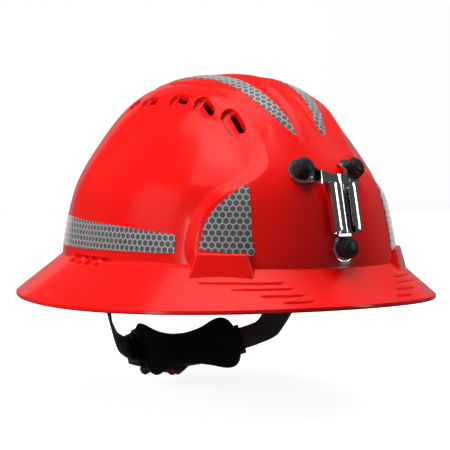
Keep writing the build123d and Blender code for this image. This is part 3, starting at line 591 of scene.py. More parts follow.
def make_shell():
    si, sj, inside = snap(hole[:DOME_ROWS])
    i, j = index_i[:DOME_ROWS] + si, index_j[:DOME_ROWS] + sj
    top = sample(outer[:DOME_ROWS], i, j)
    under = sample(inner, i, j)
    keep = ~inside
    edge = np.array([-0.2, 0, 0, -0.5, -2.1, -2.4, -2.6])
    lip = ring_points(BRIM_W + edge, BRIM_F + edge, BRIM_R + edge,
                      [-0.1, -0.45, -2.0, -2.6, -2.7, -2.55, -1.8])
    lip = lifted(lip, np.ones(len(edge)))
    v = np.linspace(0.92, -0.08, UNDER_ROWS)
    below = ring_points(*flare(v), BROW * (1 - v) - WALL)
    below = lifted(below, np.clip(v, 0, 1))
    first_part = np.concatenate([top, outer[DOME_ROWS:], lip, below, under[::-1]])
    total = len(first_part)
    used = np.ones((total - 1, COLUMNS), bool)
    used[: DOME_ROWS - 1] = keep
    used[total - DOME_ROWS:] = keep[::-1]
    faces = [quads(total, 0, used)]
    # walls of the vents join the outer and inner surfaces
    count = total * COLUMNS

    def outer_id(a, b):
        return a * COLUMNS + b % COLUMNS

    def inner_id(a, b):
        return (total - 1 - a) * COLUMNS + b % COLUMNS

    walls = []
    for a, b in zip(*np.nonzero(inside)):
        for (p, q), (r, s), (na, nb) in (((a, b), (a, b + 1), (a - 1, b)),
                                         ((a + 1, b), (a + 1, b + 1), (a + 1, b)),
                                         ((a, b), (a + 1, b), (a, b - 1)),
                                         ((a, b + 1), (a + 1, b + 1), (a, b + 1))):
            if not inside[na, nb % COLUMNS]:
                walls.append((outer_id(p, q), outer_id(r, s), inner_id(r, s), inner_id(p, q)))
    points = first_part.reshape(-1, 3)
    apex = np.array([[0, 0, outer[0, :, 2].mean() + 0.004], [0, 0, inner[0, :, 2].mean() + 0.004]])
    points = np.concatenate([points, apex])
    fans = [(count, (b + 1) % COLUMNS, b) for b in range(COLUMNS)]
    last = (total - 1) * COLUMNS
    fans += [(count + 1, last + b, last + (b + 1) % COLUMNS) for b in range(COLUMNS)]
    all_faces = [tuple(f) for f in faces[0]] + walls + fans
    return points, all_faces, total


shell_points, shell_faces, shell_rows = make_shell()
shell = new_object("shell_skin", shell_points, shell_faces, "helmet", SHELL, angle=38.0)
shell.data.materials.append(INNER)
inner_start = (shell_rows - DOME_ROWS - UNDER_ROWS) * COLUMNS
for polygon in shell.data.polygons:
    if min(polygon.vertices) >= inner_start:
        polygon.material_index = 1
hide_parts("shell")


def heading_frame(angle, reach, z):
    """Origin, outward, sideways and up at an angle from the front."""
    a = math.radians(angle)
    out = np.array([math.sin(a), -math.cos(a), 0])
    return out * reach + np.array([0, 0, z]), out, np.array([math.cos(a), math.sin(a), 0]), np.array([0, 0,
                                                                                                      1.0])


def block(name, sections, body, material, bevel, segments=3):
    """A closed piece through a row of four-cornered or many-cornered sections."""
    n = len(sections[0])
    verts = [p for s in sections for p in s]
    faces = []
    for k in range(len(sections) - 1):
        for c in range(n):
            d = (c + 1) % n
            faces.append((k * n + c, k * n + d, (k + 1) * n + d, (k + 1) * n + c))
    faces.append(tuple(range(n))[::-1])
    faces.append(tuple(range((len(sections) - 1) * n, len(sections) * n)))
    obj = new_object(name, verts, faces, body, material, 40.0)
    if bevel:
        bevelled(obj, bevel, segments)
    return obj


def dome_share(z):
    t = (z - BROW) / (CROWN - BROW)
    return float(np.interp(t, [q[1] for q in STATIONS], [q[0] for q in STATIONS]))


def depth_to_wall(p, out, z):
    """How far behind a point the dome's surface lies."""
    share = dome_share(max(z, BROW))
    a, b = DOME_W * share, DOME_F * share
    near, far = 0.0, 30.0
    for _ in range(30):
        t = (near + far) / 2
        q = p - out * t
        if (q[0] / a) ** 2 + (q[1] / b) ** 2 > 1:
            near = t
        else:
            far = t
    return near


def brim_height(p):
    """Height of the brim's upper surface at a point."""
    near, far = 0.0, 1.0
    for _ in range(30):
        w = (near + far) / 2
        wide, front, _ = flare(w)
        if (p[0] / wide) ** 2 + (p[1] / front) ** 2 > 1:
            near = w
        else:
            far = w
    return BROW * (1 - near)


def slot_covers():
    """The wedge over each accessory slot, where the dome meets the brim, with its back sunk in both."""
    place = math.radians(34.0)
    reach = 1 / math.hypot(math.sin(place) / DOME_W, math.cos(place) / DOME_F)
    for side, word in ((1, "left"), (-1, "right")):
        foot = np.array([side * reach * math.sin(place), -reach * math.cos(place), 0])
        _, out, across, up = heading_frame(side * 44.0, 0, 0)
        sections = []
        for s in np.linspace(-1, 1, 15):
            low = foot + out * 5.5 + across * s * 21.2
            low = low + up * (brim_height(low) - 1.1)
            top = foot + out * 1.1 + across * s * 15.5 + up * 35.3
            behind = top - out * (depth_to_wall(top, out, 35.3) + 1.2)
            under = low - out * (depth_to_wall(low, out, BROW) + 0.9)
            sections.append([low, top, behind, np.array([under[0], under[1], BROW - 1.0])])
        cover = block(f"slot_cover_{word}", sections, "helmet", SHELL, 1.3, 4)


slot_covers()


def sockets():
    """Pockets on the inner wall that the harness hooks plug into."""
    for place, angle, z, reach in SOCKETS:
        deep = 1.3 if place == "side" else -0.2
        for side, word in ((1, "left"), (-1, "right")):
            parts = []
            for lo, hi, near, far, low, top in ((-11.5, -8.7, 5.2, deep, -3, 13),
                                                (8.7, 11.5, 5.2, deep, -3, 13),
                                                (-11.5, 11.5, 5.2, 3.6, -3, 13),
                                                (-11.5, 11.5, 5.2, deep, 11, 13)):
                origin, out, across, up = heading_frame(side * angle, reach, z)
                box = []
                for h in (low, top):
                    back = far + 2.6 * (h + 3) / 16
                    corners = ((lo, near), (hi, near), (hi, back), (lo, back))
                    box.append([origin + across * x - out * y + up * h for x, y in corners])
                parts.append(box)
            verts, faces = [], []
            for box in parts:
                k = len(verts)
                verts += box[0] + box[1]
                faces += [(k, k + 1, k + 5, k + 4), (k + 1, k + 2, k + 6, k + 5),
                          (k + 2, k + 3, k + 7, k + 6),
                          (k + 3, k, k + 4, k + 7), (k + 3, k + 2, k + 1, k), (k + 4, k + 5, k + 6, k + 7)]
            piece = new_object(f"socket_{place}_{word}", verts, faces, "helmet", INNER, 40.0)
            bevelled(piece, 0.3, 1)


def socket_reaches():
    """Each socket's place and its distance from the axis, as the frame's hooks sit in them."""
    found = []
    for place, angle, z in (("front", 38.0, 44.0), ("side", 90.0, 62.0), ("rear", 142.0, 44.0)):
        hook = NODES[f"hook_{place}_left"]
        out = heading_frame(angle, 0, 0)[1]
        far = max(float(np.array(v.co) @ out) for v in hook.data.vertices) / MM
        found.append((place, angle, z, far + 1.4))
    return found


SOCKETS = socket_reaches()
sockets()

# ------------------------------------------------------------------ reflective film

column_run = np.concatenate([[0], np.cumsum(np.linalg.norm(np.diff(outer[:, COLUMNS // 8], axis=0), axis=1))])


def film_piece(name, field, flat_x, flat_y, mirror_side):
    """A thin patch of film that follows the shell where the field is negative."""
    wanted = np.where(np.sign(outer_rows[..., 0]) == mirror_side, field, np.abs(field) + 5)
    wanted = wanted[:DOME_ROWS]
    si, sj, inside = snap(wanted, 0.75)
    i, j = index_i[:DOME_ROWS] + si, index_j[:DOME_ROWS] + sj
    base = sample(outer[:DOME_ROWS], i, j)
    out = sample(outer_normals[:DOME_ROWS], i, j)
    flat = sample(np.stack([flat_x, flat_y], axis=-1)[:DOME_ROWS], i, j)
    rows, cols = np.nonzero(inside)
    ids = {}
    top, faces = [], []

    def point(a, b):
        key = (a, b % COLUMNS)
        if key not in ids:
            ids[key] = len(top)
            top.append(key)
        return ids[key]

    for a, b in zip(rows, cols):
        faces.append((point(a, b), point(a, b + 1), point(a + 1, b + 1), point(a + 1, b)))
    pick = np.array(top)
    p, n, uv = base[pick[:, 0], pick[:, 1]], out[pick[:, 0], pick[:, 1]], flat[pick[:, 0], pick[:, 1]]
    raised = p + n * 0.40
    sunk = p - n * 0.12
    edges = {}
    for f in faces:
        for a, b in zip(f, f[1:] + f[:1]):
            edges[(a, b)] = edges.get((a, b), 0) + 1
    count = len(raised)
    skirt = [(b, a, a + count, b + count) for a, b in edges if (b, a) not in edges]
    obj = new_object(name, np.concatenate([raised, sunk]), faces + skirt, "helmet", FILM, 50.0)
    loose = bmesh.new()
    loose.from_mesh(obj.data)
    bmesh.ops.delete(loose, geom=[v for v in loose.verts if not v.link_faces], context="VERTS")
    layer = loose.loops.layers.uv.new("flat")
    both = np.concatenate([raised, sunk])
    spots = {tuple(np.round(q * MM, 7)): w for q, w in zip(both, np.concatenate([uv, uv]))}
    keys = np.array(list(spots.keys()))
    values = np.array(list(spots.values()))
    tree = KDTree(len(keys))
    for k, q in enumerate(keys):
        tree.insert(q, k)
    tree.balance()
    for v in loose.verts:
        w = values[tree.find(v.co)[1]]
        for loop in v.link_loops:
            loop[layer].uv = (w[0] * MM, w[1] * MM)
    loose.to_mesh(obj.data)
    loose.free()
    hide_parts(name.replace("_film", ""))
    return obj


row_at = np.argmin(np.abs(height[:DOME_ROWS, 0] - 45))
around = np.concatenate([[0], np.cumsum(np.linalg.norm(np.diff(outer_rows[row_at], axis=0), axis=1))])
around = np.where(turn > math.pi, around - around[-1] - (around[1] - around[0]), around)
flat_around = np.abs(np.broadcast_to(around, height.shape))
flat_up = np.broadcast_to(-column_run[:, None], height.shape)
PATCH = [(26.0, 74), (25.9, 60), (25.7, 45), (25.6, 34.3), (33, 35.8), (40.6, 37.8), (40.2, 44), (39.4, 51.8),
         (37.6, 59), (34.4, 66.6),
         (30.2, 73.2), (27.4, 76.8), (26.4, 76.6)]
BAND = [(49.3, 45.2), (50.6, 46.3), (68, 49.2), (96, 52), (125, 53.8), (155, 54.6), (171, 55), (172, 53.5),
        (172, 36.5), (171, 35), (155, 34),
        (125, 33.2), (96, 33), (68, 34.2), (50.4, 34.6), (49.3, 35.8)]
CROWN_STRIP = [(10.6, -98.5), (10.3, -92), (12.6, -82), (15.4, -65), (18.2, -42), (20.3, -14), (20, 15),
               (17.5, 45), (12.5, 76), (11.5, 83),
               (17.5, 83.5), (20.5, 76), (26.8, 45), (30.6, 15), (31, -14), (29, -42), (25.6, -66),
               (21.5, -82), (16, -93.5), (12, -98.8)]
patch_field = outline_distance(heading * 2.2, height, catmull(PATCH, 6) * (2.2, 1))
band_field = outline_distance(heading * 1.95, height, catmull(BAND, 6) * (1.95, 1))
strip_field = outline_distance(side_x, outer_rows[..., 1], catmull(CROWN_STRIP, 8))
strip_field = np.where(height > 85, strip_field, 30.0)
ridge_y = np.concatenate([outer_rows[:, 0, 1][::-1], outer_rows[1:, COLUMNS // 2, 1]])
strip_run = np.interp(outer_rows[..., 1], ridge_y, np.concatenate([-column_run[::-1], column_run[1:]]))
for side, word in ((1, "left"), (-1, "right")):
    film_piece(f"front_patch_{word}_film", patch_field, flat_around, flat_up, side)
    film_piece(f"side_band_{word}_film", band_field, flat_around, flat_up, side)
    film_piece(f"crown_strip_{word}_film", strip_field, side_x, strip_run, side)

# ------------------------------------------------------------------ lamp bracket


def bolt_frames():
    """Where each bracket bolt leaves the shell, its direction, and two directions across it."""
    found = []
    for x, z in ((-19.0, 85.0), (19.0, 85.0), (0.0, 38.0)):
        share = dome_share(z)
        y = -DOME_F * share * math.sqrt(1 - (x / (DOME_W * share)) ** 2)
        out = unit((x / DOME_W**2, y / DOME_F**2, (z - BROW) / (CROWN - BROW) ** 2))
        up = unit(np.array([0, 0, 1.0]) - out * out[2])
        found.append((np.array([x, y, z]), out, np.cross(up, out), up))
    return found


BOLTS = bolt_frames()
TILT = math.radians(13.0)
CH_UP = np.array([0, math.sin(TILT), math.cos(TILT)])
CH_BACK = np.array([0, math.cos(TILT), -math.sin(TILT)])
CH_FOOT = np.array([0, -134.5, 47.0])
CH_TALL = 33.0


def channel_point(x, y, h):
    """A point in the channel's own frame: x across, y back, h up from its foot."""
    return CH_FOOT + np.array([x, 0, 0]) + CH_BACK * y + CH_UP * h


def ribbon(name, rows, wide, material, thick=1.3, bevel=0.35):
    """Sheet metal through pairs of edge points, thickened and bevelled."""
    low = catmull([a for a, b in rows], 5, closed=False)
    top = catmull([b for a, b in rows], 5, closed=False)
    verts = [a + (b - a) * k / (wide - 1) for a, b in zip(low, top) for k in range(wide)]
    obj = new_object(name, verts, grid_faces(len(low), wide), "helmet", material, 50.0)
    modifier(obj, "SOLIDIFY", thickness=thick * MM, offset=0.0)
    bevelled(obj, bevel, 2, 50)
    return obj


def bracket():
    """Folded chrome sheet: the channel, the crossbar with its two ears, and the tongue."""
    # half of the channel's section, from a lip's free edge to the middle of the back: x, y, foot and top
    half = [(2.9, -6.6, 5.0, 27.6), (5.2, -7.2, 2.6, 30.2), (7.6, -7.35, 0.9, 31.8), (9.3, -7.2, 0.4, 32.2),
            (10.1, -6.4, 0.2, 32.5), (10.15, -4.0, 0, 32.8),
            (10.1, -1.7, 0, CH_TALL), (9.3, -0.8, 0, CH_TALL), (6.6, -0.72, 0, CH_TALL),
            (5.2, -0.72, 0, CH_TALL), (3.9, -1.6, 0, CH_TALL), (2.6, -2.9, 0, CH_TALL),
            (1.2, -3.4, 0, CH_TALL), (0, -3.5, 0, CH_TALL)]
    across = [(-x, y, lo, hi) for x, y, lo, hi in half] + half[-2::-1]
    rows = 12
    shares = [k / (rows - 1) for k in range(rows)]
    verts = [channel_point(x, y, lo + (hi - lo) * share) for share in shares for x, y, lo, hi in across]
    body = new_object("bracket_channel", verts, grid_faces(rows, len(across)), "helmet", CHROME, 35.0)
    modifier(body, "SOLIDIFY", thickness=1.2 * MM, offset=0.0)
    bevelled(body, 0.25, 2, 50)
    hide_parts("lamp_bracket")

    # crossbar: from one ear, forward to the head of the channel, and back to the other ear
    centre, out, _, up = BOLTS[1]
    lean = np.array([1.0, 0.32, 0])
    along = unit(lean - out * (out @ lean))
    rows = []
    for share, half_tall in ((8.6, 2.2), (7.4, 5.0), (4.5, 7.6), (0.0, 8.6), (-4.5, 8.0), (-7.6, 6.6)):
        middle = centre + out * 1.7 + along * share
        rows.append((middle - up * half_tall, middle + up * half_tall))
    rows.append((channel_point(10.4, 1.6, 32.6), channel_point(10.6, 1.9, 41.8)))
    rows.append((channel_point(8.6, -0.7, 32.0), channel_point(8.8, -0.5, 40.2)))
    rows.append((channel_point(6.4, -1.7, 31.6), channel_point(6.6, -1.6, 38.8)))
    rows.append((channel_point(3.2, -3.1, 31.4), channel_point(3.4, -2.9, 37.8)))
    rows.append((channel_point(0.0, -3.5, 31.4), channel_point(0.0, -3.2, 37.6)))
    mirror = np.array([-1, 1, 1])
    ribbon("bracket_crossbar", rows + [(a * mirror, b * mirror) for a, b in rows[-2::-1]], 7, CHROME)

    # tongue: from the channel's foot down to the lower bolt
    centre, out, _, up = BOLTS[2]
    rows = [(channel_point(-5.2, -0.8, 6), channel_point(5.2, -0.8, 6)),
            (channel_point(-5.0, -0.8, 0), channel_point(5.0, -0.8, 0)),
            (channel_point(-5.2, -0.4, -2.2), channel_point(5.2, -0.4, -2.2))]
    for drop, half_wide in ((5.4, 6.4), (0.0, 8.4), (-4.5, 7.2), (-7.0, 4.8), (-8.4, 2.0)):
        middle = centre + out * 1.7 + up * drop
        rows.append((middle - np.array([half_wide, 0, 0]), middle + np.array([half_wide, 0, 0])))
    ribbon("bracket_tongue", rows, 7, CHROME)


def turned(profile, origin, out, sides=48, phase=0.0, shape=None):
    """Points and faces of a turned piece: profile is (radius, distance along out)."""
    side = unit(np.cross(out, [0.3, 0.2, 1.0]))
    other = np.cross(out, side)
    verts = []
    for r, h in profile:
        for k in range(sides):
            a = 2 * math.pi * k / sides + phase
            q = r * (shape(a, h) if shape else 1.0)
            verts.append(origin + out * h + side * q * math.cos(a) + other * q * math.sin(a))
    rows = len(profile)
    faces = tube_faces(rows, sides)
    verts += [origin + out * profile[0][1], origin + out * profile[-1][1]]
    for k in range(sides):
        m = (k + 1) % sides
        faces.append((len(verts) - 2, m, k))
        faces.append((len(verts) - 1, (rows - 1) * sides + k, (rows - 1) * sides + m))
    return verts, faces


def hexagon(a, h):
    """How far a hexagon with rounded corners lies from a circle, fading out towards the dome."""
    flat = math.cos(math.radians(30)) / math.cos((a % math.radians(60)) - math.radians(30))
    soft = 0.93 + 0.07 * flat if h > 8.4 else min(flat, 0.985)
    return soft


def caps():
    """Three domed hexagonal caps with a collar, on chrome washers."""
    verts, faces, cup_v, cup_f = [], [], [], []
    for origin, out, _, _ in BOLTS:
        profile = [(6.6, 3.4), (7.35, 3.5), (7.45, 4.3), (7.0, 4.5), (6.95, 5.2), (6.95, 7.0), (6.8, 8.0),
                   (6.3, 8.8), (5.8, 9.1), (5.5, 9.2),
                   (5.2, 9.8), (4.4, 10.6), (3.2, 11.1), (1.6, 11.35), (0.4, 11.4)]
        v, f = turned(profile, origin, out, 60, 0.2, hexagon)
        faces += [tuple(i + len(verts) for i in q) for q in f]
        verts += v
        v, f = turned([(6.0, 2.4), (7.7, 2.4), (7.9, 2.7), (7.7, 3.1), (6.6, 3.35), (3.0, 3.4)], origin, out,
                      48)
        cup_f += [tuple(i + len(cup_v) for i in q) for q in f]
        cup_v += v
    cap = new_object("bolt_caps_domed", verts, faces, "helmet", CAP, 30.0)
    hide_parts("bolt_caps")
    cup = new_object("bracket_washers_cupped", cup_v, cup_f, "helmet", CHROME, 30.0)
    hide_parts("bracket_washers")


bracket()
caps()

# ------------------------------------------------------------------ nape cradle

CR_TILT = math.radians(32.0)
CR_ORIGIN = np.array([0, 9.0, 26.0])
CR_BACK = np.array([0, math.cos(CR_TILT), -math.sin(CR_TILT)])
CR_UP = np.array([0, math.sin(CR_TILT), math.cos(CR_TILT)])
DROP = 38.0


def cradle_point(angle, reach, lift):
    """A point by its angle from the back, distance from the pivots' middle, and height over the pivots."""
    return CR_ORIGIN + np.array([reach * math.sin(angle), 0,
                                 0]) + CR_BACK * reach * math.cos(angle) + CR_UP * lift


def nape_pad():
    """The bone-shaped cushion: a soft closed form with a seam round its edge."""
    top = catmull([(-45, 12), (-43, 16.5), (-38, 18.8), (-31, 18.3), (-20, 14.4), (-8, 12.1), (0, 11.8),
                   (8, 12.1), (20, 14.4), (31, 18.3),
                   (38, 18.8), (43, 16.5), (45, 12)], 6, closed=False)
    bottom = catmull([(-45, 13), (-43, 18), (-38, 21.2), (-31, 21), (-20, 16.4), (-8, 12.8), (0, 12),
                      (8, 12.8), (20, 16.4), (31, 21),
                      (38, 21.2), (43, 18), (45, 13)], 6, closed=False)
    cols = 90
    xs = -45 + 90 * (0.5 - 0.5 * np.cos(np.linspace(0.02, math.pi - 0.02, cols)))
    tip = 0.35 + 0.65 * np.clip(1 - (np.abs(xs) / 45.0) ** 14, 0, 1) ** 0.5
    half = np.interp(xs, top[:, 0], top[:, 1]) * tip
    low = np.interp(xs, bottom[:, 0], bottom[:, 1]) * tip
    rows = 27
    verts = []
    for layer in (0, 1):
        for c in range(cols):
            for r in range(rows):
                v = math.sin((r / (rows - 1) - 0.5) * math.pi)
                edge = min(1.0, (1 - abs(v)) * half[c] / 4.0, (45.0 - abs(xs[c])) / 4.0 + 0.05)
                bulge = math.sqrt(max(0.0, 1 - (1 - min(1.0, edge)) ** 2))
                waves = 0.10 * math.sin(xs[c] * 0.55 + 3 * v) * bulge
                inside = 78.7 - (2.5 + 0.5 * math.cos(v * 1.3)) * bulge + waves
                depth = inside if layer == 0 else 78.9 + 2.0 * bulge
                verts.append(cradle_point(xs[c] / 79.0, depth, -DROP + v * (half[c] if v > 0 else low[c])))
    pad = new_object("nape_pad_soft", verts, layer_faces(cols, rows), "nape_cradle", PAD, 60.0)
    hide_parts("nape_pad")
    # piping round the seam
    size = cols * rows
    loop = np.array([verts[i] * 0.5 + verts[i + size] * 0.5 for i in grid_border(cols, rows)])
    middle = loop.mean(axis=0)
    sides = 8
    piping = []
    n = len(loop)
    for k in range(n):
        along = unit(loop[(k + 1) % n] - loop[k - 1])
        out = unit(loop[k] - middle - along * ((loop[k] - middle) @ along))
        other = np.cross(along, out)
        for s in range(sides):
            a = 2 * math.pi * s / sides
            piping.append(loop[k] + out * (0.75 * math.cos(a) - 0.35) + other * 0.75 * math.sin(a))
    ring = tube_faces(n, sides)
    last = (n - 1) * sides
    ring += [(last + s, last + (s + 1) % sides, (s + 1) % sides, s) for s in range(sides)]
    edge = new_object("nape_pad_piping", piping, ring, "nape_cradle", PAD, 60.0)


nape_pad()


def arm(word, side, inner_reach):
    """A moulded arm: a flat strip with raised edges."""
    body = f"arm_{word}"
    top = catmull([(-13, 8), (-2, 8.6), (6, 9), (20, 3.5), (34, -5), (50, -20), (60, -29.4), (72, -29.4),
                   (80, -29.4)], 8, closed=False)
    low = catmull([(-13, -8), (-6, -9), (2, -10), (17, -19.5), (33, -31.3), (48, -43), (60, -46.4),
                   (72, -46.4), (80, -46.4)], 8, closed=False)
    angles = np.linspace(math.radians(98.8), math.radians(34.0), 110)
    verts = []
    rows = 15
    for layer in (0, 1):
        for a in angles:
            back = inner_reach * math.cos(a)
            hi = np.interp(back, top[:, 0], top[:, 1])
            lo = np.interp(back, low[:, 0], low[:, 1])
            for r in range(rows):
                v = r / (rows - 1)
                rim = smooth(1 - min(v, 1 - v) * (hi - lo) / 2.6)
                reach = inner_reach + (0.12 if layer == 0 else 1.25 + 0.33 * float(rim))
                verts.append(cradle_point(side * a, reach, lo + (hi - lo) * v))
    strip = new_object(f"nape_arm_{word}_skin", verts, layer_faces(len(angles), rows), body, ARM, 45.0)
    bevelled(strip, 0.3, 2, 50)


arm("left", 1, 83.4)
arm("right", -1, 85.3)


def knob():
    """The adjusting knob: scalloped grips, a dished face and a rim."""
    origin = cradle_point(0, 0, -DROP)
    out = CR_BACK
    side, up = np.array([1.0, 0, 0]), CR_UP
    profile = [(10.6, 90.45), (12.7, 90.5), (13.0, 90.9), (13.15, 92.5), (13.15, 96.5), (12.9, 97.9),
               (12.2, 98.7), (11.2, 98.95), (10.0, 98.8),
               (9.2, 98.2), (8.6, 97.9), (4.0, 97.6), (3.4, 97.7), (0.3, 97.75)]
    verts = []
    steps = 144
    for r, h in profile:
        for k in range(steps):
            a = 2 * math.pi * k / steps
            dip = max(0.0, math.cos(12 * a)) ** 2
            q = r - (1.5 * dip if r > 10.4 else 0.0)
            verts.append(origin + out * h + side * q * math.cos(a) + up * q * math.sin(a))
    faces = tube_faces(len(profile), steps)
    faces.append(tuple(range((len(profile) - 1) * steps, len(profile) * steps)))
    disc = new_object("ratchet_knob_grip", verts, faces, "knob", KNOB, 35.0)


knob()

# ------------------------------------------------------------------ soft pieces inside


def strap_path(co):
    """A CAD strap's direction over the head, the way across it, its offset, and a path near its middle."""
    flat = co[:, :2]
    spread = flat - flat.mean(axis=0)
    way = np.linalg.svd(spread, full_matrices=False)[2][0]
    way = way if way[0] > 0 else -way
    along = co[:, :2] @ way
    a0, a1 = along.min() + 0.65, along.max() - 0.65
    across = np.array([-way[1], way[0]])
    off = float((co[:, :2] @ across).mean())
    z0 = float(co[along < a0 + 1.5][:, 2].min())
    z1 = float(co[along > a1 - 1.5][:, 2].min())
    crown = float(co[:, 2].max()) - 0.65
    path = catmull([(a0, z0), (a0, z0 + 7), (a0 + 0.3, z0 + 13.5), (a0 * 0.93, crown * 0.62 + z0 * 0.38),
                    (a0 * 0.72, crown - 15.5),
                    (a0 * 0.4, crown - 4.2), (0, crown), (a1 * 0.4, crown - 4.2), (a1 * 0.72, crown - 15.5),
                    (a1 * 0.93, crown * 0.62 + z1 * 0.38), (a1 - 0.3, z1 + 13.5), (a1, z1 + 7), (a1, z1)], 12,
                   closed=False)
    return way, across, off, path


def lay_strap(name, node):
    """The strap's own mesh follows the CAD strap's middle surface, with thicker selvedges."""
    obj = NODES[node]
    co = np.array([v.co for v in obj.data.vertices]) / MM
    way, across, off, path = strap_path(co)
    tri = [tuple(p.vertices) for p in obj.data.polygons]
    tree = BVHTree.FromPolygons([tuple(c) for c in co], tri)
    verts = []
    cols = 9
    kept = []
    middle = np.array([0, 0, 40.0])
    for x, z in path:
        p = np.array([way[0] * x + across[0] * off, way[1] * x + across[1] * off, z])
        start = p + unit(p - middle) * 14
        hit = tree.ray_cast(Vector(start), Vector(unit(middle - p)))
        if hit[0] is not None:
            kept.append(np.array(hit[0]) - np.array(hit[1]) * 0.62)
    line = np.array(kept)
    run = np.concatenate([[0], np.cumsum(np.linalg.norm(np.diff(line, axis=0), axis=1))])
    even = np.linspace(0, run[-1], 150)
    line = np.stack([np.interp(even, run, line[:, k]) for k in range(3)], 1)
    wide = np.array([across[0], across[1], 0])
    normal = []
    for k in range(len(line)):
        t = unit(line[min(k + 1, len(line) - 1)] - line[max(k - 1, 0)])
        n = np.cross(t, wide)
        normal.append(n if n @ (line[k] - middle) > 0 else -n)
    for layer in (1, -1):
        for k, p in enumerate(line):
            for c in range(cols):
                s = -1 + 2 * c / (cols - 1)
                thick = 0.55 + 0.12 * (abs(s) > 0.8)
                verts.append(p + wide * s * 9.4 + normal[k] * layer * thick)
    strap = new_object(name, verts, layer_faces(len(line), cols), "helmet", WEBBING, 60.0)
    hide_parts(node)


for node in ("webbing_side", "webbing_cross_a", "webbing_cross_b"):
    lay_strap(f"{node}_strap", node)


def sweatband():
    """The padded band inside the front of the headband, pillowed between stitches."""
    lo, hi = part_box("sweatband")
    z0, z1 = lo.z / MM + 0.3, hi.z / MM - 0.3
    end = math.acos(min(1.0, -(hi.y / MM - 9.0) / 105.3)) if hi.y / MM < 9 else math.pi / 2
    angles = np.linspace(-end + 0.01, end - 0.01, 150)
    rows = 17
    verts = []
    for layer in (0, 1):
        for a in angles:
            for r in range(rows):
                v = r / (rows - 1)
                edge = min(1.0, min(v, 1 - v) * 6.5, (end - abs(a)) * 9)
                puff = math.sqrt(max(0.0, 1 - (1 - edge) ** 2)) * (0.86 + 0.14 * abs(math.sin(a * 9.0)))
                gap = 2.8 if layer == 0 else 2.8 + 0.2 + 2.7 * puff
                wide, long = 79.2 - gap, 108.0 - gap
                verts.append(np.array([wide * math.sin(a), 9.0 - long * math.cos(a), z0 + (z1 - z0) * v]))
    band = new_object("sweatband_soft", verts, layer_faces(len(angles), rows), "helmet", SWEAT, 60.0)
    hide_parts("sweatband")


def crown_pad():
    """The round pad under the crossing of the straps."""
    lo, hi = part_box("crown_pad")
    z0, z1 = lo.z / MM, hi.z / MM
    mid = (z0 + z1) / 2
    rings = []
    for r in (0.6, 2.8, 6, 10, 14, 18, 21, 23.5, 25.4, 26.4, 26.7):
        lift = 1.25 * math.sqrt(max(0.0, 1 - (r / 26.8) ** 6)) * (1 - 0.35 * math.exp(-((r - 19) / 1.3) ** 2))
        rings.append((r, mid - z0 - lift))
    for r, h in reversed(rings[:-1]):
        rings.append((r, 2 * (mid - z0) - h))
    v, f = turned(rings, np.array([0, 0, z0]), np.array([0, 0, 1.0]), 64)
    pad = new_object("crown_pad_soft", v, f, "helmet", SWEAT, 70.0)
    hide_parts("crown_pad")


sweatband()
crown_pad()

# ------------------------------------------------------------------ carried-over pieces

for node, obj in NODES.items():
    if obj.hide_render:
        continue
    material = HARNESS
    if node in ("bracket_bolts", "bracket_nuts", "housing_screws", "knob_screw", "pawl_spring", "crown_rivet",
                "cable_clip_rivet"):
        material = STEEL
    elif node == "ratchet_knob":
        material = KNOB
    elif node.startswith("nape_arm"):
        material = ARM
    obj.data.materials.clear()
    obj.data.materials.append(material)

# ------------------------------------------------------------------ camera, floor, light


def photo_camera():
    """The camera of the photograph: a long lens, level with the helmet, ahead and to the wearer's right."""
    away, rise, roll = math.radians(33.5), math.radians(1.3), math.radians(0.4)
    aim = Vector((0, 0, 0.072))
    back = Vector((-math.sin(away) * math.cos(rise), -math.cos(away) * math.cos(rise), math.sin(rise)))
    right = Vector((math.cos(away), -math.sin(away), 0))
    up = back.cross(right)
    right, up = right * math.cos(roll) + up * math.sin(roll), up * math.cos(roll) - right * math.sin(roll)
    data = bpy.data.cameras.new("camera")
    data.lens = 104.0
    data.sensor_width = 36.0
    data.shift_x = 0.001
    data.shift_y = -0.08
    camera = bpy.data.objects.new("camera", data)
    bpy.context.scene.collection.objects.link(camera)
    turn_matrix = Matrix((right, up, back)).transposed().to_4x4()
    camera.matrix_world = Matrix.Translation(aim + back * 0.92) @ turn_matrix
    bpy.context.scene.camera = camera


photo_camera()


def floor():
    """A pale floor just under the lowest piece."""
    low = float(min(cad_box[0][2], -0.07)) - 0.0005
    size, steps = 6.0, 12
    marks = [size * (i / steps - 0.5) for i in range(steps + 1)]
    verts = [(x / MM, y / MM, low / MM) for x in marks for y in marks]
    m = Nodes("studio_white")
    m.set(Base_Color=m.ramp(m.noise(3.0), (0.4, (0.3, 0.3, 0.3)), (0.6, (0.32, 0.32, 0.32))), Roughness=0.8)
    m.set(Emission_Color=(1, 1, 1, 1), Emission_Strength=0.88, Specular_IOR_Level=0.0)
    ground = new_object("studio_floor", verts, grid_faces(steps + 1, steps + 1), None, m.mat, None)
    ground.visible_diffuse = False
    ground.visible_glossy = False


floor()


def soft_box(name, where, towards, wide, tall, power):
    data = bpy.data.lights.new(name, "AREA")
    data.shape = "RECTANGLE"
    data.size = wide
    data.size_y = tall
    data.energy = power
    light = bpy.data.objects.new(name, data)
    bpy.context.scene.collection.objects.link(light)
    light.location = where
    light.rotation_euler = (Vector(towards) - Vector(where)).to_track_quat("-Z", "Y").to_euler()
    return light


def hidden_from_gloss(light):
    light.visible_glossy = False
    return light


def only_in_gloss(light):
    light.visible_diffuse = False
    return light


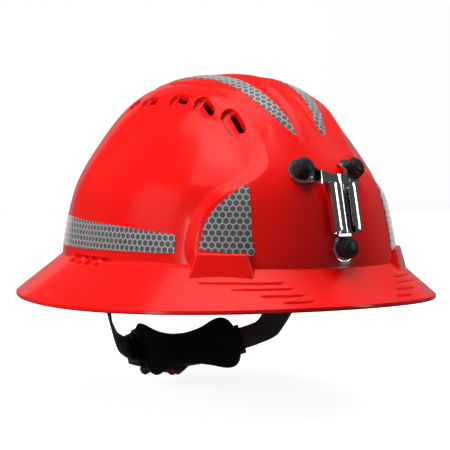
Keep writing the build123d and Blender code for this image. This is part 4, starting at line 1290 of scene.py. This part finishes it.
hidden_from_gloss(soft_box("key", (-2.5, 0.7, 1.1), (0, 0, 0.07), 1.4, 1.2, 64))
hidden_from_gloss(soft_box("overhead", (-0.3, 0.0, 2.4), (0, 0, 0.05), 1.8, 1.8, 84))
hidden_from_gloss(soft_box("rim", (1.8, 0.2, 0.7), (0, 0, 0.08), 0.6, 0.9, 10))
hidden_from_gloss(soft_box("overhead_right", (1.5, -0.1, 1.7), (0, 0, 0.05), 1.0, 1.0, 30))
only_in_gloss(soft_box("panel_side", (-0.95, -0.42, 1.55), (0, 0, 0.08), 1.15, 0.8, 1.6))
only_in_gloss(soft_box("panel_top", (-0.05, 0.2, 1.6), (0, 0.2, 0.0), 1.0, 1.7, 1.9))
only_in_gloss(soft_box("card_front", (0.82, -1.1, 0.5), (0, -0.12, 0.07), 0.22, 0.8, 1.6))
only_in_gloss(soft_box("card_side", (-1.6, -0.35, 0.25), (0, -0.12, 0.07), 0.25, 0.7, 1.2))
only_in_gloss(soft_box("panel_rear", (0.55, 1.9, 0.4), (0, 0, 0.07), 0.9, 1.2, 0.5))
only_in_gloss(soft_box("panel_right", (1.7, 1.1, 0.4), (0, 0, 0.07), 0.9, 1.2, 0.35))


def backdrop():
    """A plain white dome far behind everything: seen by the camera, but it neither lights nor reflects."""
    verts = []
    rings, sides = 16, 48
    far, drop = 9000.0, 900.0
    for i in range(rings + 1):
        a = math.pi / 2 * i / rings
        for k in range(sides):
            b = 2 * math.pi * k / sides
            level = far * math.cos(a)
            verts.append((level * math.cos(b), level * math.sin(b), far * math.sin(a) - drop))
    m = Nodes("backdrop_white")
    m.set(Base_Color=(0, 0, 0, 1), Roughness=1.0, Specular_IOR_Level=0.0)
    m.set(Emission_Color=m.ramp(m.noise(0.4), (0.4, (0.98, 0.98, 0.98)), (0.6, (1, 1, 1))),
          Emission_Strength=1.0)
    screen = new_object("studio_backdrop", verts, tube_faces(rings + 1, sides), None, m.mat, None)
    screen.visible_diffuse = False
    screen.visible_glossy = False
    screen.visible_shadow = False
    screen.visible_transmission = False


backdrop()

world = bpy.data.worlds.new("studio")
bpy.context.scene.world = world
world.use_nodes = True
world.node_tree.nodes["Background"].inputs[0].default_value = (1, 1, 1, 1)
world.node_tree.nodes["Background"].inputs[1].default_value = 0.07
bpy.context.scene.view_settings.view_transform = "Standard"
